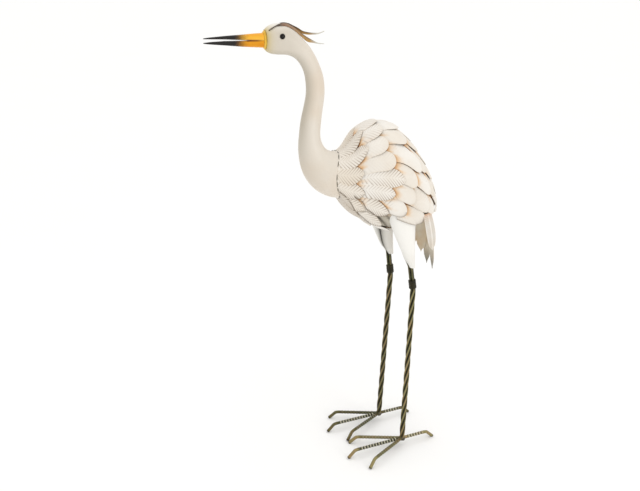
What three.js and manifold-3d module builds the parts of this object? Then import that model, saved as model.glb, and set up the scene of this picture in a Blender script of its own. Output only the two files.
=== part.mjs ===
import * as THREE from "three";
import Module from "manifold-3d";

// A garden crane welded from painted sheet steel and steel rod.
// Lengths are in millimetres, angles in degrees, and +Z is up.
// The bird faces -X and its left side is -Y. Its toes stand on z = 0, under the middle of its bounding box.

const wasm = await Module();
wasm.setup();

// Clearance between pieces that touch
const GAP = 0.35;
// Corners nearer than this are one corner
const CORNER_SIZE = 1e-4;

// Oval sections of head and neck, from the bill to the breast: [low x, low z, high x, high z, half width]
const NECK_SECTIONS = [
  [-143, 949.5, -143, 986.5, 15.5],
  [-139.5, 945, -139, 991, 19.5],
  [-131, 941, -130, 996, 22.5],
  [-118, 939, -114, 998.4, 24.2],
  [-103, 938, -99, 994.5, 24.5],
  [-91, 935.5, -81, 982.5, 23.5],
  [-79, 929, -64, 966.5, 21],
  [-69, 918, -48, 949, 19],
  [-61, 902, -33, 924, 18],
  [-57, 880, -21, 893, 18],
  [-57, 857, -18, 860, 18.5],
  [-62, 832, -22, 829, 19.5],
  [-68, 807, -26, 801, 20.5],
  [-72, 778, -28, 775, 22],
  [-74, 747, -24, 757, 25.5],
  [-70, 713, -14, 743, 31],
  [-58, 682, -4, 737.5, 38],
  [-37, 656, 4, 735.5, 44],
  [-11, 640, 8, 735.5, 47],
  [13.5, 633, 11, 736, 47.5],
];

// Oval sections of the body under its feathers, from the neck seam to the tail
const BODY_SECTIONS = [
  [15.5, 635, 13, 734, 45.6],
  [24, 623, 26, 737, 51],
  [37, 609, 41, 748, 57],
  [53, 596, 53, 763, 64],
  [74, 582, 68, 778.5, 73],
  [98, 566, 96, 787.5, 80],
  [122, 555, 132, 783, 83],
  [147, 549, 165, 755, 82],
  [170, 548, 193.5, 720, 76],
  [191, 550, 214, 687, 67],
  [208, 553, 229, 654, 55],
  [222, 559, 237, 624, 41.5],
  [231, 568, 239.5, 598, 24],
  [236, 582, 236, 582, 0],
];
const SECTION_SIDES = 20;
// The seam between neck and body is a saddle: its flanks lie this far ahead of its top and bottom
const SEAM_SADDLE = 21;
// The saddle fades out over this share of the neck's and of the body's length
const NECK_SADDLE_SHARE = 0.22;
const BODY_SADDLE_SHARE = 0.3;
// The closed body shell lies this far inside the surface that the feathers follow
const SHELL_INSET = 2.4;

// Bill
const BILL_BASE_X = -147.7;
const BILL_TIP_X = -265;
const BILL_HALF_WIDTH = 10.5;
const BILL_TIP_HALF_WIDTH = 0.9;
const BILL_TAPER = 0.8;
const BILL_ROUNDNESS = 0.8;
// Each mandible: [share of the length, low z, high z]
const UPPER_MANDIBLE = [
  [0, 967, 980.6],
  [0.15, 967.3, 980],
  [0.34, 968.6, 978.6],
  [0.65, 970.7, 976.9],
  [0.9, 971.6, 974.9],
  [1, 972, 973.6],
];
const LOWER_MANDIBLE = [
  [0, 953, 966.4],
  [0.15, 954.2, 966.4],
  [0.34, 955.8, 966.6],
  [0.65, 959.4, 967.4],
  [0.9, 962.1, 966.4],
  [1, 963.6, 965.2],
];
const MANDIBLE_SIDES = 10;

// Ring between bill and head
const COLLAR_FRONT_X = -147.3;
const COLLAR_BACK_X = -143.4;
const COLLAR_HALF_HEIGHT = 19;
const COLLAR_HALF_WIDTH = 15;
const COLLAR_Z = 967.6;
// The ring is a short cone, rounded at its back: [share of its depth, share of its size]
const COLLAR_PROFILE = [[0, 0.75], [0.4, 0.87], [0.75, 0.98], [0.92, 1], [1, 0.98]];

// Eyes
const EYE_RADIUS = 5.4;
const EYE_DOME = 3;
// From the axis at the back round to the axis at the front: [share of the radius, share of the dome]
const EYE_PROFILE = [[0, 0], [0.92, 0], [1, 0.22], [0.8, 0.66], [0.42, 0.94], [0, 1]];
const EYE_SIDES = 12;
const EYE_PLACE = [-115.5, 24.4, 974.4];

// Crest strips: [x, distance from the middle and z of the inner edge, the same two of the outer edge]
const LEFT_PLUME = [
  [-139.5, 12.9, 985.6, 14.2, 984.2],
  [-132.5, 14.2, 990.3, 15.7, 988.6],
  [-124, 12.6, 994.2, 14.7, 992.4],
  [-116, 9.4, 996.8, 14.5, 993],
  [-107, 3.5, 997.8, 13.5, 992.6],
  [-97, 0.8, 996.2, 12, 990.2],
  [-87, 0.8, 991.6, 10, 985],
  [-76, 0.8, 984.4, 8.8, 976.3],
  [-66, 0.8, 976.8, 8, 967.6],
  [-56, 0.8, 970.4, 6.8, 961.2],
  [-44, 0.8, 963.8, 4.8, 958.9],
  [-32, 0.8, 958.4, 2.8, 956.4],
  [-18.5, 0.8, 956.3, 1.6, 955.4],
];
const RIGHT_PLUME = [
  [-139.5, 13.5, 985.2, 14.8, 983.6],
  [-132.5, 15.5, 987.8, 17, 985.8],
  [-124, 16, 990.4, 18, 987.8],
  [-114, 11, 995.8, 16, 991.6],
  [-104, 3.5, 998.2, 11.5, 993.2],
  [-94, 0.8, 996.8, 9, 990.5],
  [-84, 0.8, 992.6, 7, 986],
  [-73, 0.8, 987.4, 5, 981.6],
  [-64, 0.8, 982, 4, 977],
  [-54, 0.8, 979.2, 4, 974.6],
  [-42, 0.8, 977.5, 4, 974],
  [-29, 0.8, 977.2, 3.5, 974.6],
  [-16, 0.8, 980.7, 2, 979.2],
];
const PLUME_THICKNESS = 1;
const PLUME_LIFT = 0.4;

// Feathers of sheet steel. Each row starts at "root" and has its tips at [angle, reach]. Both are lengths
// along the body from the neck seam, and the angle runs from the back, alike on both sides.
const FEATHER_WIDTH = 38;
const FEATHER_THICKNESS = 1;
const FEATHER_CROWN = 1.3;
const ROOT_LIFT = 0.4;
const FEATHER_ROWS = [
  { root: 0.6, lift: 4.5, tips: [[15, 70], [46, 71], [77, 57], [107, 59], [137, 66], [166, 66]] },
  {
    root: 34,
    lift: 6.7,
    tips: [
      [0, 110], [23, 108], [46, 111], [66, 123], [84, 145],
      [101, 124], [126, 117], [152, 116], [180, 112],
    ],
  },
  { root: 84, lift: 8.4, tips: [[12, 150], [34, 158], [56, 198], [78, 180], [97, 178], [117, 159]] },
  { root: 136, lift: 6, tips: [[0, 206], [23, 208], [47, 224], [71, 236], [96, 230], [122, 217]] },
  { root: 188, lift: 6, tips: [[12, 262], [37, 266], [64, 266], [94, 260]] },
  { root: 240, lift: 8, tips: [[0, 320], [29, 318], [60, 310]] },
  { root: 292, lift: 25, tips: [[20, 372]] },
];
// Single feathers between the thighs, under the belly
const BELLY_FEATHERS = [
  { root: 84, lift: 7, tips: [[180, 160]] },
  { root: 136, lift: 7, tips: [[180, 219]] },
];
// Width of a feather at shares of its length
const FEATHER_OUTLINE = [[0.35, 0.94], [0.7, 0.9], [0.9, 0.56]];
// The roots of a row run together in a band of this width, and further out a gap parts the feathers
const ROOT_BAND = 6;
const SIDE_GAP = 0.5;
// Feathers further apart than this have no neighbour on that side
const NEIGHBOUR_ANGLE = 45;
// How the height over the body grows along a feather, and where the crown of its leaf is fully formed
const LIFT_POWER = 1.5;
const CROWN_SHARE = 0.33;
// Arc length along the body is summed in this many steps
const ARC_STEPS = 120;
// Share of the body's length where its back turns under
const TAIL_TURN_SHARE = 0.92;
// Sides of a leaf's section towards its neighbours, counted from its upper left corner
const RIGHT_WALL = 2;
const LEFT_WALL = 5;
// Steps for slopes of the body's surface, as a share of its length and in radians
const SHARE_STEP = 1e-3;
const ANGLE_STEP = 0.02;

// Tail feathers: long narrow blades, left side negative. "angle" is the place of the root round the body,
// "bearing" the way the tip faces, measured from the rear, and "drop" how far the tip hangs below the root.
const TAIL_BLADES = [
  { angle: -110.9, bearing: -73, drop: 96, width: 33, taper: 0.2 },
  { angle: -12, bearing: -13, drop: 159 },
  { angle: 30, bearing: 20, drop: 155, width: 24 },
  { angle: 58, bearing: 38, drop: 129 },
  { angle: 82, bearing: 56, drop: 107 },
];
const TAIL_ROOT_Z = 592;
const TAIL_ROOT_HEIGHT = 2;
const TAIL_WIDTH = 29;
const TAIL_THICKNESS = 1.1;
const TAIL_TIP_OVAL = { x: 218, long: 43, wide: 50 };
const TAIL_STAGGER = 2;
const TAIL_BOW = 3;
const TAIL_CROWN = 1.2;
const TAIL_OUTLINE = [[0, 0.8], [0.3, 0.96], [0.62, 1], [0.86, 0.7]];

// Thighs, from the knee up: [x, y, z, half length, half width]
const THIGH_SECTIONS = [
  [177, 51, 461.5, 9, 8.5],
  [168, 51, 500, 15.2, 12.5],
  [158, 51, 540, 23.8, 16.5],
  [149.5, 51, 578, 31, 20],
  [141, 51, 618, 37, 23],
];
const THIGH_SIDES = 16;
// The right thigh reaches further forward: half of what its sections gain in length
const RIGHT_THIGH_FULLER = [0, 3, 3, 3, 3];

// Legs: four strands of rod twisted together, [x, y, z] down the middle
const LEG_LINE = [
  [175, 52, 461],
  [182.6, 53.6, 408],
  [166, 60.5, 15.2],
];
const STRAND_RADIUS = 2.75;
const STRANDS = 4;
const LEG_SECTION_CORNERS = 16;
const TWIST_PITCH = 140;
const TWIST_STEPS = 19;
const STRAIGHT_STEPS = 2;

// Wire wound round the rods at the knee
const WRAP_TOP = 435;
const WRAP_HEIGHT = 26;
const WRAP_TURNS = 5;
const WRAP_RADIUS = 8.9;
const WRAP_GROOVE = 0.9;
const WRAP_BORE = 7.35;
const WRAP_SIDES = 10;

// Toes: ribbed rod, bent down to the ground at its end
const TOE_RADIUS = 4.3;
const TOE_SIDES = 8;
const TOE_HEIGHT = 19;
const TOE_END_HEIGHT = 1.7;
const TOE_START = 7.35;
const TOE_DROP_LENGTH = 17;
const KNUCKLE_LENGTH = 7;
// Bend of the knuckle: [distance past the straight run, share of the drop]
const KNUCKLE_BEND = [[0, 0.07], [3.5, 0.25]];
const MIDDLE_TOE = { name: "toe_middle", bearing: 180, length: 128 };
const TOES = [
  MIDDLE_TOE,
  { name: "toe_back", bearing: 0, length: 70 },
  { name: "toe_inner", bearing: 154.4, length: 112, neighbour: MIDDLE_TOE },
  { name: "toe_outer", bearing: 206, length: 112, neighbour: MIDDLE_TOE },
];
const GROUND_SIZE = 900;

function paint(color, roughness, metalness) {
  return new THREE.MeshStandardMaterial({ color, roughness, metalness });
}

const CREAM = paint(0xe9dfcf, 0.5, 0);
const WHITE = paint(0xf1ede6, 0.55, 0);
const FEATHER = paint(0xf0e6d4, 0.55, 0);
const BILL_PAINT = paint(0xe8920f, 0.4, 0);
const COLLAR_PAINT = paint(0xb98a12, 0.45, 0);
const EYE_PAINT = paint(0x0a0a0a, 0.15, 0);
const CREST_PAINT = paint(0x5a3d16, 0.4, 0.5);
const BRONZE = paint(0x4d4a2a, 0.4, 0.8);

const UP = new THREE.Vector3(0, 0, 1);
const radians = THREE.MathUtils.degToRad;
const crane = new THREE.Group();

function addPiece(name, geometry, material) {
  const mesh = new THREE.Mesh(geometry, material);
  mesh.name = name;
  crane.add(mesh);
}

// Closed geometry from corners and triangles: corners that coincide are joined and its faces point outwards.
function closedGeometry(corners, triangles) {
  const places = new Map();
  const positions = [];
  const joined = corners.map((corner) => {
    const key = corner.toArray().map((value) => Math.round(value / CORNER_SIZE)).join();
    if (!places.has(key)) {
      places.set(key, places.size);
      positions.push(...corner.toArray());
    }
    return places.get(key);
  });
  let index = triangles
    .map((triangle) => triangle.map((corner) => joined[corner]))
    .filter(([a, b, c]) => a !== b && b !== c && a !== c);
  const at = (corner) => new THREE.Vector3().fromArray(positions, 3 * corner);
  const volume = index.reduce((sum, [a, b, c]) => sum + at(a).dot(at(b).cross(at(c))), 0);
  if (volume < 0) index = index.map(([a, b, c]) => [a, c, b]);
  const geometry = new THREE.BufferGeometry();
  geometry.setAttribute("position", new THREE.Float32BufferAttribute(positions, 3));
  geometry.setIndex(index.flat());
  return geometry;
}

// A closed body through rings of points that all turn the same way.
function loft(rings) {
  const sides = rings[0].length;
  const corners = rings.flat();
  const triangles = [];
  for (let ring = 0; ring + 1 < rings.length; ring++) {
    for (let side = 0; side < sides; side++) {
      const next = (side + 1) % sides;
      const a = ring * sides + side;
      const b = ring * sides + next;
      triangles.push([a, b, b + sides], [a, b + sides, a + sides]);
    }
  }
  for (const ring of [0, rings.length - 1]) {
    if (rings[ring][0].distanceTo(rings[ring][1]) < CORNER_SIZE) continue;
    const middle = new THREE.Vector3();
    rings[ring].forEach((corner) => middle.addScaledVector(corner, 1 / sides));
    corners.push(middle);
    for (let side = 0; side < sides; side++) {
      const edge = [ring * sides + side, ring * sides + ((side + 1) % sides)];
      if (ring === 0) edge.reverse();
      triangles.push([...edge, corners.length - 1]);
    }
  }
  return closedGeometry(corners, triangles);
}

function solidOf(geometry) {
  const vertProperties = new Float32Array(geometry.getAttribute("position").array);
  const triVerts = new Uint32Array(geometry.index.array);
  return new wasm.Manifold(new wasm.Mesh({ numProp: 3, vertProperties, triVerts }));
}

function geometryOf(solid) {
  const { vertProperties, triVerts } = solid.getMesh();
  const geometry = new THREE.BufferGeometry();
  geometry.setAttribute("position", new THREE.Float32BufferAttribute(vertProperties, 3));
  geometry.setIndex([...triVerts]);
  return geometry;
}

// The largest of the bodies that a cut leaves
function largest(solid) {
  return solid.decompose().reduce((best, body) => (body.volume() > best.volume() ? body : best));
}

// Value of a smooth curve through the rows of a table, each row a list of numbers
function smoothRow(table, share) {
  const last = table.length - 1;
  const place = THREE.MathUtils.clamp(share, 0, 1) * last;
  const start = Math.min(Math.floor(place), last - 1);
  const t = place - start;
  const from = table[start];
  const to = table[start + 1];
  const before = table[start - 1] ?? from.map((value, k) => 2 * value - to[k]);
  const after = table[start + 2] ?? to.map((value, k) => 2 * value - from[k]);
  return from.map((value, k) => {
    const slopeIn = (to[k] - before[k]) / 2;
    const slopeOut = (after[k] - value) / 2;
    const rise = to[k] - value;
    return value + slopeIn * t + (3 * rise - 2 * slopeIn - slopeOut) * t * t
      + (slopeIn + slopeOut - 2 * rise) * t ** 3;
  });
}

// Point of an oval section between a low and a high point. The angle runs from the high point towards +Y.
function sectionPoint([lowX, lowZ, highX, highZ, halfWidth], angle) {
  const up = (1 + Math.cos(angle)) / 2;
  return new THREE.Vector3(
    THREE.MathUtils.lerp(lowX, highX, up),
    halfWidth * Math.sin(angle),
    THREE.MathUtils.lerp(lowZ, highZ, up),
  );
}

function neckPoint(share, angle) {
  const point = sectionPoint(smoothRow(NECK_SECTIONS, share), angle);
  const near = Math.max(0, 1 - (1 - share) / NECK_SADDLE_SHARE);
  point.x -= SEAM_SADDLE * near * near * Math.sin(angle) ** 2;
  return point;
}

function bodyPoint(share, angle) {
  const point = sectionPoint(smoothRow(BODY_SECTIONS, share), angle);
  const near = Math.max(0, 1 - share / BODY_SADDLE_SHARE);
  point.x -= SEAM_SADDLE * near * near * Math.sin(angle) ** 2;
  return point;
}

// Outward normal of the body at a point of its surface
function bodyNormal(share, angle) {
  const along = bodyPoint(share + SHARE_STEP, angle).sub(bodyPoint(share - SHARE_STEP, angle));
  const round = bodyPoint(share, angle + ANGLE_STEP).sub(bodyPoint(share, angle - ANGLE_STEP));
  const normal = round.cross(along).normalize();
  const across = bodyPoint(share, angle).sub(bodyPoint(share, angle + Math.PI));
  return normal.dot(across) < 0 ? normal.negate() : normal;
}

// Point at an angle, an arc length from the seam, and a height over the body. Where the body turns under at
// the tail, the way along it goes straight on.
function overBody(angle, arc, height) {
  let travelled = 0;
  let share = 0;
  let ahead = arc;
  for (let step = 1; share < TAIL_TURN_SHARE && ahead > 0; step++) {
    const next = (step / ARC_STEPS) * TAIL_TURN_SHARE;
    const length = bodyPoint(next, angle).distanceTo(bodyPoint(share, angle));
    ahead = arc - travelled - length;
    share = ahead > 0 ? next : share + ((next - share) * (arc - travelled)) / length;
    travelled += length;
  }
  const point = bodyPoint(share, angle).addScaledVector(bodyNormal(share, angle), height);
  if (ahead <= 0) return point;
  const onward = bodyPoint(share, angle).sub(bodyPoint(share - SHARE_STEP, angle)).normalize();
  return point.addScaledVector(onward, ahead);
}

// Length per radian round the body, along the line that keeps its distance from the seam
function girthRate(angle, arc) {
  const width = overBody(angle + ANGLE_STEP, arc, 0).distanceTo(overBody(angle - ANGLE_STEP, arc, 0));
  return width / (2 * ANGLE_STEP);
}

// Angle and reach of every feather of a row, on both sides of the back, in turn round the body
function leavesOf(tips) {
  return tips
    .flatMap(([angle, reach]) => (angle % 180 === 0 ? [[angle, reach]] : [[-angle, reach], [angle, reach]]))
    .map(([angle, reach]) => [radians(angle), reach])
    .sort((a, b) => a[0] - b[0]);
}

// Sections of one leaf: three corners over and three under. It lies on the body at its root and lifts off
// towards its tip. "turns" are the angles to its neighbours, or null where it has none, and "grow" makes it
// larger all round.
function leafSections([angle, reach], turns, root, lift, grow) {
  const bandEnd = root + ROOT_BAND;
  const stations = [[root - grow, 0, 1], [bandEnd, 0, 1]];
  for (const [share, widthShare] of FEATHER_OUTLINE) {
    stations.push([THREE.MathUtils.lerp(bandEnd, reach, share), share, widthShare]);
  }
  stations.push([reach + grow, 1, 0]);
  return stations.map(([arc, share, widthShare]) => {
    const rate = girthRate(angle, arc);
    const wanted = (widthShare * FEATHER_WIDTH) / 2 + grow;
    const [left, right] = turns.map((turn) => {
      if (widthShare === 0) return 0;
      if (turn === null) return wanted / rate;
      return share === 0 ? turn / 2 : Math.min(wanted, (turn * rate) / 2 - SIDE_GAP + grow) / rate;
    });
    const under = ROOT_LIFT + lift * share ** LIFT_POWER - grow;
    const over = under + FEATHER_THICKNESS + 2 * grow;
    const crown = widthShare * FEATHER_CROWN * Math.min(1, share / CROWN_SHARE);
    return [
      overBody(angle - left, arc, over),
      overBody(angle, arc, over + crown),
      overBody(angle + right, arc, over),
      overBody(angle + right, arc, under),
      overBody(angle, arc, under + crown),
      overBody(angle - left, arc, under),
    ];
  });
}

// All feathers of one row as one scalloped sheet. Neighbours share the band along their roots.
function featherRow({ root, lift, tips }, grow = 0) {
  const leaves = leavesOf(tips);
  const turnFrom = (place, step) => {
    const other = leaves[(place + step + leaves.length) % leaves.length][0];
    const turn = THREE.MathUtils.euclideanModulo(step * (other - leaves[place][0]), 2 * Math.PI);
    return turn > 0 && turn < radians(NEIGHBOUR_ANGLE) ? turn : null;
  };
  const corners = [];
  const triangles = [];
  const quad = (a, b, c, d) => triangles.push([a, b, c], [a, c, d]);
  leaves.forEach((leaf, place) => {
    const turns = [turnFrom(place, -1), turnFrom(place, 1)];
    const sections = leafSections(leaf, turns, root, lift, grow);
    const first = corners.length;
    corners.push(...sections.flat());
    quad(first, first + 1, first + 4, first + 5);
    quad(first + 1, first + 2, first + 3, first + 4);
    sections.slice(1).forEach((section, step) => {
      const inBand = step === 0;
      section.forEach((corner, from) => {
        const leftOpen = from === LEFT_WALL && turns[0] !== null;
        const rightOpen = from === RIGHT_WALL && turns[1] !== null;
        if (inBand && (leftOpen || rightOpen)) return;
        const to = (from + 1) % section.length;
        const base = first + step * section.length;
        quad(base + to, base + from, base + from + section.length, base + to + section.length);
      });
    });
  });
  return closedGeometry(corners, triangles);
}

// Round bar through a chain of points that lie in one upright plane
function bar(points, radius, sides) {
  const heading = points.at(-1).clone().sub(points[0]);
  const side = new THREE.Vector3(-heading.y, heading.x, 0).normalize();
  return loft(points.map((point, place) => {
    const before = points[Math.max(place - 1, 0)];
    const after = points[Math.min(place + 1, points.length - 1)];
    const rise = after.clone().sub(before).normalize().cross(side);
    return Array.from({ length: sides }, (_, corner) => {
      const turn = (2 * Math.PI * (corner + 0.5)) / sides;
      return point.clone()
        .addScaledVector(side, radius * Math.cos(turn))
        .addScaledVector(rise, radius * Math.sin(turn));
    });
  }));
}

// Head and neck in one, "grow" larger all round
function neckAndHead(grow = 0) {
  const last = NECK_SECTIONS.length - 1;
  const rings = NECK_SECTIONS.map((_, place) => Array.from({ length: SECTION_SIDES }, (unused, corner) => {
    const angle = (2 * Math.PI * corner) / SECTION_SIDES;
    const point = neckPoint(place / last, angle);
    const middle = point.clone().add(neckPoint(place / last, angle + Math.PI)).multiplyScalar(0.5);
    return point.addScaledVector(point.clone().sub(middle).normalize(), grow);
  }));
  return loft(rings);
}

function bodyShell(inset) {
  const last = BODY_SECTIONS.length - 1;
  const rings = BODY_SECTIONS.map((_, place) => Array.from({ length: SECTION_SIDES }, (unused, corner) => {
    const angle = (2 * Math.PI * corner) / SECTION_SIDES;
    const outward = place === last ? new THREE.Vector3(1, 0, 0) : bodyNormal(place / last, angle);
    if (place === 0) outward.x = 0;
    return bodyPoint(place / last, angle).addScaledVector(outward, -inset);
  }));
  return loft(rings);
}

function mandible(outline, archedUp) {
  return loft(outline.map(([share, low, high]) => {
    const x = THREE.MathUtils.lerp(BILL_BASE_X, BILL_TIP_X, share);
    const halfWidth = Math.max(BILL_TIP_HALF_WIDTH, BILL_HALF_WIDTH * (1 - share) ** BILL_TAPER);
    const flat = archedUp ? low : high;
    const crest = archedUp ? high : low;
    return Array.from({ length: MANDIBLE_SIDES }, (_, corner) => {
      const turn = (Math.PI * corner) / (MANDIBLE_SIDES - 1);
      return new THREE.Vector3(
        x,
        halfWidth * Math.cos(turn),
        THREE.MathUtils.lerp(flat, crest, Math.sin(turn) ** BILL_ROUNDNESS),
      );
    });
  }));
}

function beakCollar() {
  return loft(COLLAR_PROFILE.map(([along, scale]) => Array.from({ length: SECTION_SIDES }, (_, corner) => {
    const x = THREE.MathUtils.lerp(COLLAR_FRONT_X, COLLAR_BACK_X, along);
    const turn = (2 * Math.PI * corner) / SECTION_SIDES;
    return new THREE.Vector3(
      x,
      scale * COLLAR_HALF_WIDTH * Math.sin(turn),
      COLLAR_Z + scale * COLLAR_HALF_HEIGHT * Math.cos(turn),
    );
  })));
}

function eye(side) {
  const profile = EYE_PROFILE.map(([radius, height]) =>
    new THREE.Vector2(radius * EYE_RADIUS, height * EYE_DOME));
  const geometry = new THREE.LatheGeometry(profile, EYE_SIDES);
  const [x, y, z] = EYE_PLACE;
  if (side < 0) geometry.rotateX(Math.PI);
  geometry.translate(x, side * y, z);
  return merged(geometry);
}

// A library geometry with its coinciding corners joined
function merged(geometry) {
  const position = geometry.getAttribute("position");
  const corners = [];
  for (let k = 0; k < position.count; k++) corners.push(new THREE.Vector3().fromBufferAttribute(position, k));
  const index = geometry.index ? [...geometry.index.array] : corners.map((_, k) => k);
  const triangles = [];
  for (let k = 0; k < index.length; k += 3) triangles.push(index.slice(k, k + 3));
  return closedGeometry(corners, triangles);
}

// A narrow strip that lies on the crown and lifts free behind it, cut clear of the head
function crestPlume(line, side, cutter) {
  const edges = line.map(([x, innerY, innerZ, outerY, outerZ]) => [
    new THREE.Vector3(x, side * innerY, innerZ),
    new THREE.Vector3(x, side * outerY, outerZ),
  ]);
  const strip = loft(edges.map(([inner, outer], place) => {
    const [before] = edges[Math.max(place - 1, 0)];
    const [after] = edges[Math.min(place + 1, edges.length - 1)];
    const along = after.clone().sub(before);
    const face = along.cross(outer.clone().sub(inner).multiplyScalar(side)).normalize();
    const at = (edge, height) => edge.clone().addScaledVector(face, height);
    const top = PLUME_LIFT + PLUME_THICKNESS;
    return [at(inner, PLUME_LIFT), at(outer, PLUME_LIFT), at(outer, top), at(inner, top)];
  }));
  return geometryOf(largest(solidOf(strip).subtract(cutter)));
}

// Share of the body's length where one angle of its surface comes down to a height
function shareAtHeight(angle, z) {
  let share = 1;
  while (bodyPoint(share, angle).z < z) share -= 1 / ARC_STEPS;
  return share;
}

function tailBlade({ angle, bearing, drop, width = TAIL_WIDTH, taper = 0 }, place) {
  const share = shareAtHeight(radians(angle), TAIL_ROOT_Z);
  const root = bodyPoint(share, radians(angle))
    .addScaledVector(bodyNormal(share, radians(angle)), TAIL_ROOT_HEIGHT);
  const turn = radians(bearing);
  const { x, long, wide } = TAIL_TIP_OVAL;
  const tip = new THREE.Vector3(x + long * Math.cos(turn), wide * Math.sin(turn), TAIL_ROOT_Z - drop);
  const faceRoot = bodyNormal(share, radians(angle)).setZ(0).normalize();
  const faceTip = new THREE.Vector3(Math.cos(turn), Math.sin(turn), 0);
  const layer = TAIL_STAGGER * (place % 2 ? -1 : 1);
  const rings = [...TAIL_OUTLINE, [1, 0]].map(([along, widthShare]) => {
    const outward = faceRoot.clone().lerp(faceTip, along).normalize();
    const sideways = new THREE.Vector3(-outward.y, outward.x, 0);
    const bow = layer + TAIL_BOW * Math.sin(Math.PI * along);
    const centre = root.clone().lerp(tip, along).addScaledVector(outward, bow);
    const half = (widthShare * width * (1 - taper * along)) / 2;
    const at = (across, height) => centre.clone()
      .addScaledVector(sideways, across * half)
      .addScaledVector(outward, height);
    const crown = TAIL_CROWN * widthShare;
    return [
      at(-1, TAIL_THICKNESS), at(0, TAIL_THICKNESS + crown), at(1, TAIL_THICKNESS),
      at(1, 0), at(0, crown), at(-1, 0),
    ];
  });
  return loft(rings);
}

function thigh(side, cutters) {
  const rings = THIGH_SECTIONS.map(([x, y, z, halfLength, halfWidth], place) =>
    Array.from({ length: THIGH_SIDES }, (_, corner) => {
      const turn = (2 * Math.PI * corner) / THIGH_SIDES;
      const fuller = side > 0 ? RIGHT_THIGH_FULLER[place] : 0;
      const along = x - fuller + (halfLength + fuller) * Math.cos(turn);
      return new THREE.Vector3(along, side * y + halfWidth * Math.sin(turn), z);
    }));
  const cone = solidOf(loft(rings));
  return geometryOf(largest(cutters.reduce((rest, cutter) => rest.subtract(cutter), cone)));
}

// Outline radius of strands laid side by side round the middle of the leg
function strandRadius(angle) {
  const ring = STRAND_RADIUS / Math.sin(Math.PI / STRANDS);
  const period = (2 * Math.PI) / STRANDS;
  const off = THREE.MathUtils.euclideanModulo(angle + period / 2, period) - period / 2;
  return ring * Math.cos(off) + Math.sqrt(Math.max(0, STRAND_RADIUS ** 2 - (ring * Math.sin(off)) ** 2));
}

function leg(side) {
  const heights = [];
  for (let part = 0; part + 1 < LEG_LINE.length; part++) {
    const steps = part === 0 ? STRAIGHT_STEPS : TWIST_STEPS;
    for (let step = 0; step < steps; step++) {
      heights.push([part, step / steps]);
    }
  }
  heights.push([LEG_LINE.length - 2, 1]);
  return loft(heights.map(([part, share]) => {
    const end = LEG_LINE[part + 1];
    const [x, y, z] = LEG_LINE[part].map((value, k) => THREE.MathUtils.lerp(value, end[k], share));
    const twist = (2 * Math.PI * (Math.min(z, LEG_LINE[1][2]) - LEG_LINE[1][2])) / TWIST_PITCH;
    return Array.from({ length: LEG_SECTION_CORNERS }, (_, corner) => {
      const turn = (2 * Math.PI * corner) / LEG_SECTION_CORNERS;
      const reach = new THREE.Vector3(strandRadius(turn), 0, 0).applyAxisAngle(UP, turn + twist);
      return reach.add(new THREE.Vector3(x, side * y, z));
    });
  }));
}

function kneeWrap(side) {
  const profile = [];
  const turnHeight = WRAP_HEIGHT / WRAP_TURNS;
  for (let turn = 0; turn < WRAP_TURNS; turn++) {
    const low = -WRAP_HEIGHT / 2 + turn * turnHeight;
    profile.push(new THREE.Vector2(WRAP_RADIUS - WRAP_GROOVE, low));
    profile.push(new THREE.Vector2(WRAP_RADIUS, low + turnHeight / 2));
  }
  profile.push(new THREE.Vector2(WRAP_RADIUS - WRAP_GROOVE, WRAP_HEIGHT / 2));
  profile.push(new THREE.Vector2(WRAP_BORE, WRAP_HEIGHT / 2));
  profile.push(new THREE.Vector2(WRAP_BORE, -WRAP_HEIGHT / 2));
  profile.push(profile[0].clone());
  const geometry = new THREE.LatheGeometry(profile, WRAP_SIDES);
  geometry.rotateX(Math.PI / 2);
  const [top, bend] = LEG_LINE;
  const share = (top[2] - (WRAP_TOP - WRAP_HEIGHT / 2)) / (top[2] - bend[2]);
  const [x, y, z] = top.map((value, k) => THREE.MathUtils.lerp(value, bend[k], share));
  geometry.rotateY(-Math.atan2(bend[0] - top[0], top[2] - bend[2]));
  geometry.translate(x, side * y, z);
  return merged(geometry);
}

// Middle line of a toe: level from the ankle to its knuckle, then down to the ground
function toeLine(side, bearing, start, length) {
  const [x, y] = LEG_LINE.at(-1);
  const turn = radians(bearing);
  const heading = new THREE.Vector3(Math.cos(turn), -side * Math.sin(turn), 0);
  const points = [[start, TOE_HEIGHT], [length - KNUCKLE_LENGTH, TOE_HEIGHT]];
  for (const [along, fall] of KNUCKLE_BEND) {
    points.push([length + along, THREE.MathUtils.lerp(TOE_HEIGHT, TOE_END_HEIGHT, fall)]);
  }
  points.push([length + TOE_DROP_LENGTH, TOE_END_HEIGHT]);
  return points.map(([distance, z]) => new THREE.Vector3(x, side * y, z).addScaledVector(heading, distance));
}

// A toe with its end cut flat on the ground, and cut clear of a neighbour that it meets at the ankle
function toe(side, { bearing, length, neighbour }) {
  const rod = solidOf(bar(toeLine(side, bearing, TOE_START, length), TOE_RADIUS, TOE_SIDES));
  const block = new THREE.BoxGeometry(GROUND_SIZE, GROUND_SIZE, TOE_HEIGHT);
  const ground = merged(block.translate(0, 0, -TOE_HEIGHT / 2));
  const standing = rod.subtract(solidOf(ground));
  if (!neighbour) return geometryOf(standing);
  const clearance = bar(toeLine(side, neighbour.bearing, 0, neighbour.length), TOE_RADIUS + GAP, TOE_SIDES);
  return geometryOf(largest(standing.subtract(solidOf(clearance))));
}

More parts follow.
